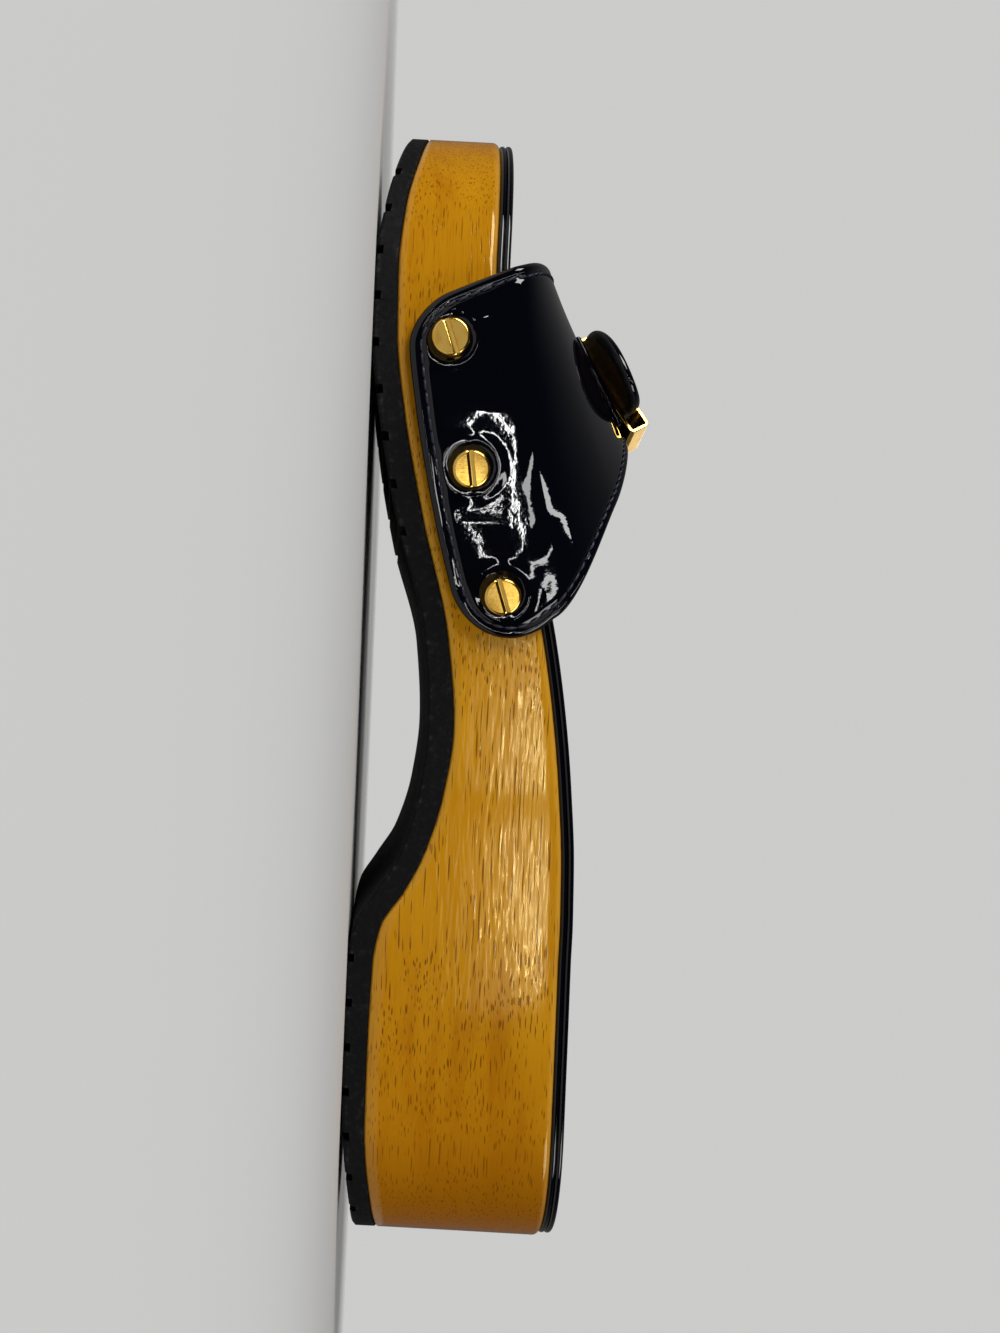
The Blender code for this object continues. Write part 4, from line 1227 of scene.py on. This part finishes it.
def make_buckle(scene):
    """Box frame: a rounded rectangle carried along the band, inside and outside, less the window's faces.

    Walls close both ends and the window. A Bevel rounds the edges. The prong is a pin with round ends.
    """
    gold = finish("gold_plating", scene.sandal_colours)
    place = band_frame(*BUCKLE_PLACE, BUCKLE_LIFT)
    paths = [box_path(inset, radius) for inset, radius in zip((0.0, BUCKLE_WALL), BUCKLE_CORNERS)]
    ends = 0.5 * np.array([-BUCKLE_LENGTH, -WINDOW_LENGTH, WINDOW_LENGTH, BUCKLE_LENGTH])
    skins = np.empty((2, len(ends), len(paths[0]), 3))
    for skin, path in zip(skins, paths):
        skin[..., 0], skin[..., 1], skin[..., 2] = path[:, 0], ends[:, None], path[:, 1]
    over = (np.abs(paths[0][:, 0]) <= 0.5 * WINDOW_WIDTH + 1e-6) & (paths[0][:, 1] > 0.5 * BUCKLE_HEIGHT)
    first, last = np.flatnonzero(over)[[0, -1]]
    beyond = np.concatenate([np.arange(last, len(over)), np.arange(0, first + 1)])
    kept = [(skin[row:row + 2], True) for skin in skins for row in (0, 2)]
    kept += [(skin[1:3][:, beyond], False) for skin in skins]
    kept += [(skins[:, row], True) for row in (0, 3)]
    kept += [(skins[:, row, first:last + 1], False) for row in (1, 2)]
    kept += [(skins[:, 1:3, column], False) for column in (first, last)]
    patches = [(placed(grid, place), wrap, 0) for grid, wrap in kept]
    piece = make_piece("buckle_box", patches, [gold], ("buckle_frame",), sharp=40.0)
    bevel = piece.modifiers.new("polished edges", "BEVEL")
    bevel.width = BUCKLE_POLISH * MM
    bevel.segments = BUCKLE_POLISH_STEPS
    bevel.limit_method = "ANGLE"
    bevel.angle_limit = math.radians(BUCKLE_POLISH_ANGLE)
    bevel.harden_normals = True
    way = np.sin(0.5 * np.pi * np.linspace(-1.0, 1.0, PRONG_RINGS))
    girth = PRONG_RADIUS * (1.0 - PRONG_TAPER * way) * (1.0 - np.abs(way) ** PRONG_BLUNT) ** 0.5
    turn = 2.0 * np.pi * np.arange(PRONG_SIDES) / PRONG_SIDES
    pin = np.empty((len(way), len(turn), 3))
    pin[..., 0] = girth[:, None] * np.cos(turn)
    pin[..., 1] = (0.5 * WINDOW_LENGTH - GAP) * way[:, None]
    pin[..., 2] = BUCKLE_HEIGHT - PRONG_RADIUS + girth[:, None] * np.sin(turn)
    patches = [(placed(pin, place), True, 0)]
    make_piece("prong_pin", patches, [gold], ("buckle_prong",), sharp=60.0)


def make_screws(scene):
    """Slotted screw heads: a disc cut into chords beside and in the slot, with a round rim, side and base."""
    gold = finish("gold_plating", scene.sandal_colours)
    half = SLOT_WIDTH / (2.0 * HEAD_RADIUS)
    outside = np.sin(np.linspace(math.asin(half), 0.5 * np.pi, HEAD_CHORDS))
    floor = np.linspace(-1.0, 1.0, SLOT_CHORDS)
    lip, low = half - SLOT_STEEP[0], half - SLOT_STEEP[1]
    chord = np.concatenate([-outside[::-1], [-lip], low * floor, [lip], outside])
    level = np.zeros(len(outside))
    slot = SLOT_DEPTH * (1.0 - SLOT_HOLLOW * floor ** 2)
    sunk = np.concatenate([level, [SLOT_RIM], slot, [SLOT_RIM], level])
    along = np.sin(0.5 * np.pi * np.linspace(-1.0, 1.0, HEAD_STEPS))
    x = np.broadcast_to(HEAD_RADIUS * chord[:, None], (len(chord), len(along)))
    y = HEAD_RADIUS * np.sqrt(np.maximum(1.0 - chord ** 2, 0.0))[:, None] * along
    radius = np.hypot(x, y)
    into = np.clip(radius - (HEAD_RADIUS - HEAD_ROUND), 0.0, HEAD_ROUND)
    dome = -HEAD_ROUND + np.sqrt(HEAD_ROUND ** 2 - into ** 2) - HEAD_DOME * (radius / HEAD_RADIUS) ** 2
    face = np.stack([y, x, HEAD_TOP + np.minimum(dome, 0.0) - sunk[:, None]], axis=-1)
    rim = np.concatenate([face[:, -1], face[-2:0:-1, 0]])
    foot = rim.copy()
    foot[:, 2] = HEAD_FOOT
    skirt = np.stack([rim, foot, np.broadcast_to([0.0, 0.0, HEAD_FOOT], rim.shape)])
    for screw in SCREWS:
        place = screw_frame(screw) @ Matrix.Rotation(math.radians(screw["slot_turn"]), 4, "Z")
        patches = [(placed(face, place), False, 0), (placed(skirt, place), True, 0)]
        name = screw["name"]
        make_piece(f"screw_head_{name}", patches, [gold], (f"screw_{name}",), sharp=30.0)


# Stage
def make_floor(colours):
    """Flat pale floor with a faint mottle, which fades into the backdrop with distance."""
    mesh = bpy.data.meshes.new("floor")
    half = FLOOR_HALF
    corners = [(-half, -half, 0), (half, -half, 0), (half, half, 0), (-half, half, 0)]
    mesh.from_pydata(corners, [], [(0, 1, 2, 3)])
    floor = add_object("floor", mesh)
    material, shader = new_material("pale_floor", {"Roughness": 0.8})
    nodes = Nodes(material.node_tree)
    mottle = nodes.noise(nodes.place(90.0), 3.0)
    paler = tuple(min(1.0, part) for part in tinted(colours.floor, 1.03))
    colour = nodes.mix(mottle, colours.floor, paler)
    place = nodes.add("TexCoord").outputs["Object"]
    away = nodes.add("VectorMath", {0: place}, operation="LENGTH").outputs["Value"]
    nodes.tree.links.new(colour, shader.inputs["Base Color"])
    nodes.tree.links.new(nodes.step(away, *FLOOR_FADE, 1.0, 0.0), shader.inputs["Alpha"])
    mesh.materials.append(material)


def make_world():
    """Even pale backdrop for the camera. For the light, a pale room that grows dark on the camera's side."""
    world = bpy.data.worlds.new("pale room")
    world.use_nodes = True
    world.node_tree.nodes.clear()
    nodes = Nodes(world.node_tree)
    direction = nodes.add("TexCoord").outputs["Generated"]
    side = nodes.add("SeparateXYZ", {0: direction}).outputs[1]
    path = nodes.add("LightPath").outputs
    strength = nodes.math("SUBTRACT", 1.0, nodes.times(path["Is Glossy Ray"], ROOM_DIMMING))
    shade = nodes.step(side, *ROOM_SIDES, *ROOM_SHADES)
    room = nodes.add("Background", {"Color": shade, "Strength": strength}).outputs[0]
    seen = nodes.add("Background", {"Color": opaque(BACKDROP), "Strength": 1.0}).outputs[0]
    mix = nodes.add("MixShader", {0: path["Is Camera Ray"], 1: room, 2: seen})
    nodes.add("OutputWorld", {0: mix.outputs[0]})
    bpy.context.scene.world = world


def add_lamp(name, size, power, place):
    """Rectangular lamp of a size in metres, which shines along the -Z of its placement."""
    lamp = bpy.data.lights.new(name, "AREA")
    lamp.shape = "RECTANGLE"
    lamp.size, lamp.size_y = size
    lamp.energy = power
    holder = add_object(name, lamp)
    holder.matrix_world = place
    return holder


def make_lamps():
    """Two soft lamps that shine at the shoe."""
    for lamp in records(LAMP_COLUMNS, LAMP_ROWS):
        place, aim = Vector(lamp["place"]) * MM, Vector(lamp["aim"]) * MM
        turn = (aim - place).to_track_quat("-Z", "Y")
        add_lamp(lamp["name"], (LAMP_SIZE, LAMP_SIZE), lamp["power"], Matrix.LocRotScale(place, turn, None))


def make_glows():
    """Thin lamps from one point to another, facing the shoe. Each lights only the pieces of one material."""
    groups = {}
    for label, starts in LIT_PIECES.items():
        groups[label] = bpy.data.collections.new(f"lit {label}")
        for piece in bpy.context.scene.objects:
            if piece.name.startswith(starts):
                groups[label].objects.link(piece)
    for number, glow in enumerate(records(GLOW_COLUMNS, GLOW_ROWS)):
        start, end = Vector(glow["start"]) * MM, Vector(glow["end"]) * MM
        size = ((end - start).length, glow["width"] * MM)
        power = glow["glow"] * math.pi * size[0] * size[1]
        middle = 0.5 * (start + end)
        long = (end - start).normalized()
        away = middle - Vector(CAMERA_AIM) * MM
        away = (away - long * away.dot(long)).normalized()
        lamp = add_lamp(f"glow {number}", size, power, placement(long, away.cross(long), away, middle))
        lamp.light_linking.receiver_collection = groups[glow["lit"]]


def make_camera():
    """Camera at the photo's place, rolled so that the toe points up in the picture."""
    camera = bpy.data.cameras.new("camera")
    camera.lens = CAMERA_LENS
    camera.sensor_width = CAMERA_SENSOR
    camera.clip_start = MM
    holder = add_object("camera", camera)
    place, aim = Vector(CAMERA_PLACE) * MM, Vector(CAMERA_AIM) * MM
    forward = (aim - place).normalized()
    roll = math.radians(CAMERA_ROLL)
    right = forward.cross(Vector((math.cos(roll), 0.0, -math.sin(roll)))).normalized()
    holder.matrix_world = placement(right, right.cross(forward), -forward, place)
    bpy.context.scene.camera = holder


def make_stage(scene):
    """Floor, room, lamps and camera."""
    make_floor(scene.sandal_colours)
    make_world()
    make_lamps()
    make_glows()
    scene.view_settings.view_transform = "Standard"
    make_camera()


# Operators and panel
class SANDAL_OT_wood_sole(bpy.types.Operator):
    """Carved wooden sole"""
    bl_idname = "sandal.wood_sole"
    bl_label = "Wooden sole"

    def execute(self, context):
        make_wood(context.scene)
        return {"FINISHED"}


class SANDAL_OT_outsole(bpy.types.Operator):
    """Rubber outsole with its tread"""
    bl_idname = "sandal.outsole"
    bl_label = "Outsole"

    def execute(self, context):
        make_rubber(context.scene)
        return {"FINISHED"}


class SANDAL_OT_footbed(bpy.types.Operator):
    """Covered footbed with a beaded edge"""
    bl_idname = "sandal.footbed"
    bl_label = "Footbed"

    def execute(self, context):
        make_footbed(context.scene)
        return {"FINISHED"}


class SANDAL_OT_band(bpy.types.Operator):
    """Both halves of the leather band"""
    bl_idname = "sandal.band"
    bl_label = "Band"

    def execute(self, context):
        make_band(context.scene)
        return {"FINISHED"}


class SANDAL_OT_stitching(bpy.types.Operator):
    """Seams of the band"""
    bl_idname = "sandal.stitching"
    bl_label = "Stitching"

    def execute(self, context):
        make_stitching(context.scene)
        return {"FINISHED"}


class SANDAL_OT_buckle(bpy.types.Operator):
    """Box buckle and its prong"""
    bl_idname = "sandal.buckle"
    bl_label = "Buckle"

    def execute(self, context):
        make_buckle(context.scene)
        return {"FINISHED"}


class SANDAL_OT_screws(bpy.types.Operator):
    """Six slotted screw heads"""
    bl_idname = "sandal.screws"
    bl_label = "Screws"

    def execute(self, context):
        make_screws(context.scene)
        return {"FINISHED"}


class SANDAL_OT_stage(bpy.types.Operator):
    """Floor, light and camera"""
    bl_idname = "sandal.stage"
    bl_label = "Stage"

    def execute(self, context):
        make_stage(context.scene)
        return {"FINISHED"}


OPERATORS = (
    SANDAL_OT_wood_sole,
    SANDAL_OT_outsole,
    SANDAL_OT_footbed,
    SANDAL_OT_band,
    SANDAL_OT_stitching,
    SANDAL_OT_buckle,
    SANDAL_OT_screws,
    SANDAL_OT_stage,
)


class SANDAL_PT_sidebar(bpy.types.Panel):
    """Settings and steps of the sandal"""
    bl_label = "Slide sandal"
    bl_space_type = "VIEW_3D"
    bl_region_type = "UI"
    bl_category = "Sandal"

    def draw(self, context):
        for group in (context.scene.sandal_sizes, context.scene.sandal_colours):
            box = self.layout.box()
            for name in group.bl_rna.properties.keys():
                if name not in {"rna_type", "name"}:
                    box.prop(group, name)
        for operator in OPERATORS:
            self.layout.operator(operator.bl_idname)


CLASSES = (SandalSizes, SandalColours, *OPERATORS, SANDAL_PT_sidebar)


def register():
    """Add the classes and the settings to Blender."""
    for item in CLASSES:
        bpy.utils.register_class(item)
    bpy.types.Scene.sandal_sizes = bpy.props.PointerProperty(type=SandalSizes)
    bpy.types.Scene.sandal_colours = bpy.props.PointerProperty(type=SandalColours)


def unregister():
    """Take the settings and the classes out of Blender."""
    del bpy.types.Scene.sandal_colours
    del bpy.types.Scene.sandal_sizes
    for item in reversed(CLASSES):
        bpy.utils.unregister_class(item)


def main():
    """Make every piece in order."""
    register()
    bpy.ops.sandal.wood_sole()
    bpy.ops.sandal.outsole()
    bpy.ops.sandal.footbed()
    bpy.ops.sandal.band()
    bpy.ops.sandal.stitching()
    bpy.ops.sandal.buckle()
    bpy.ops.sandal.screws()
    bpy.ops.sandal.stage()


if __name__ == "__main__":
    main()
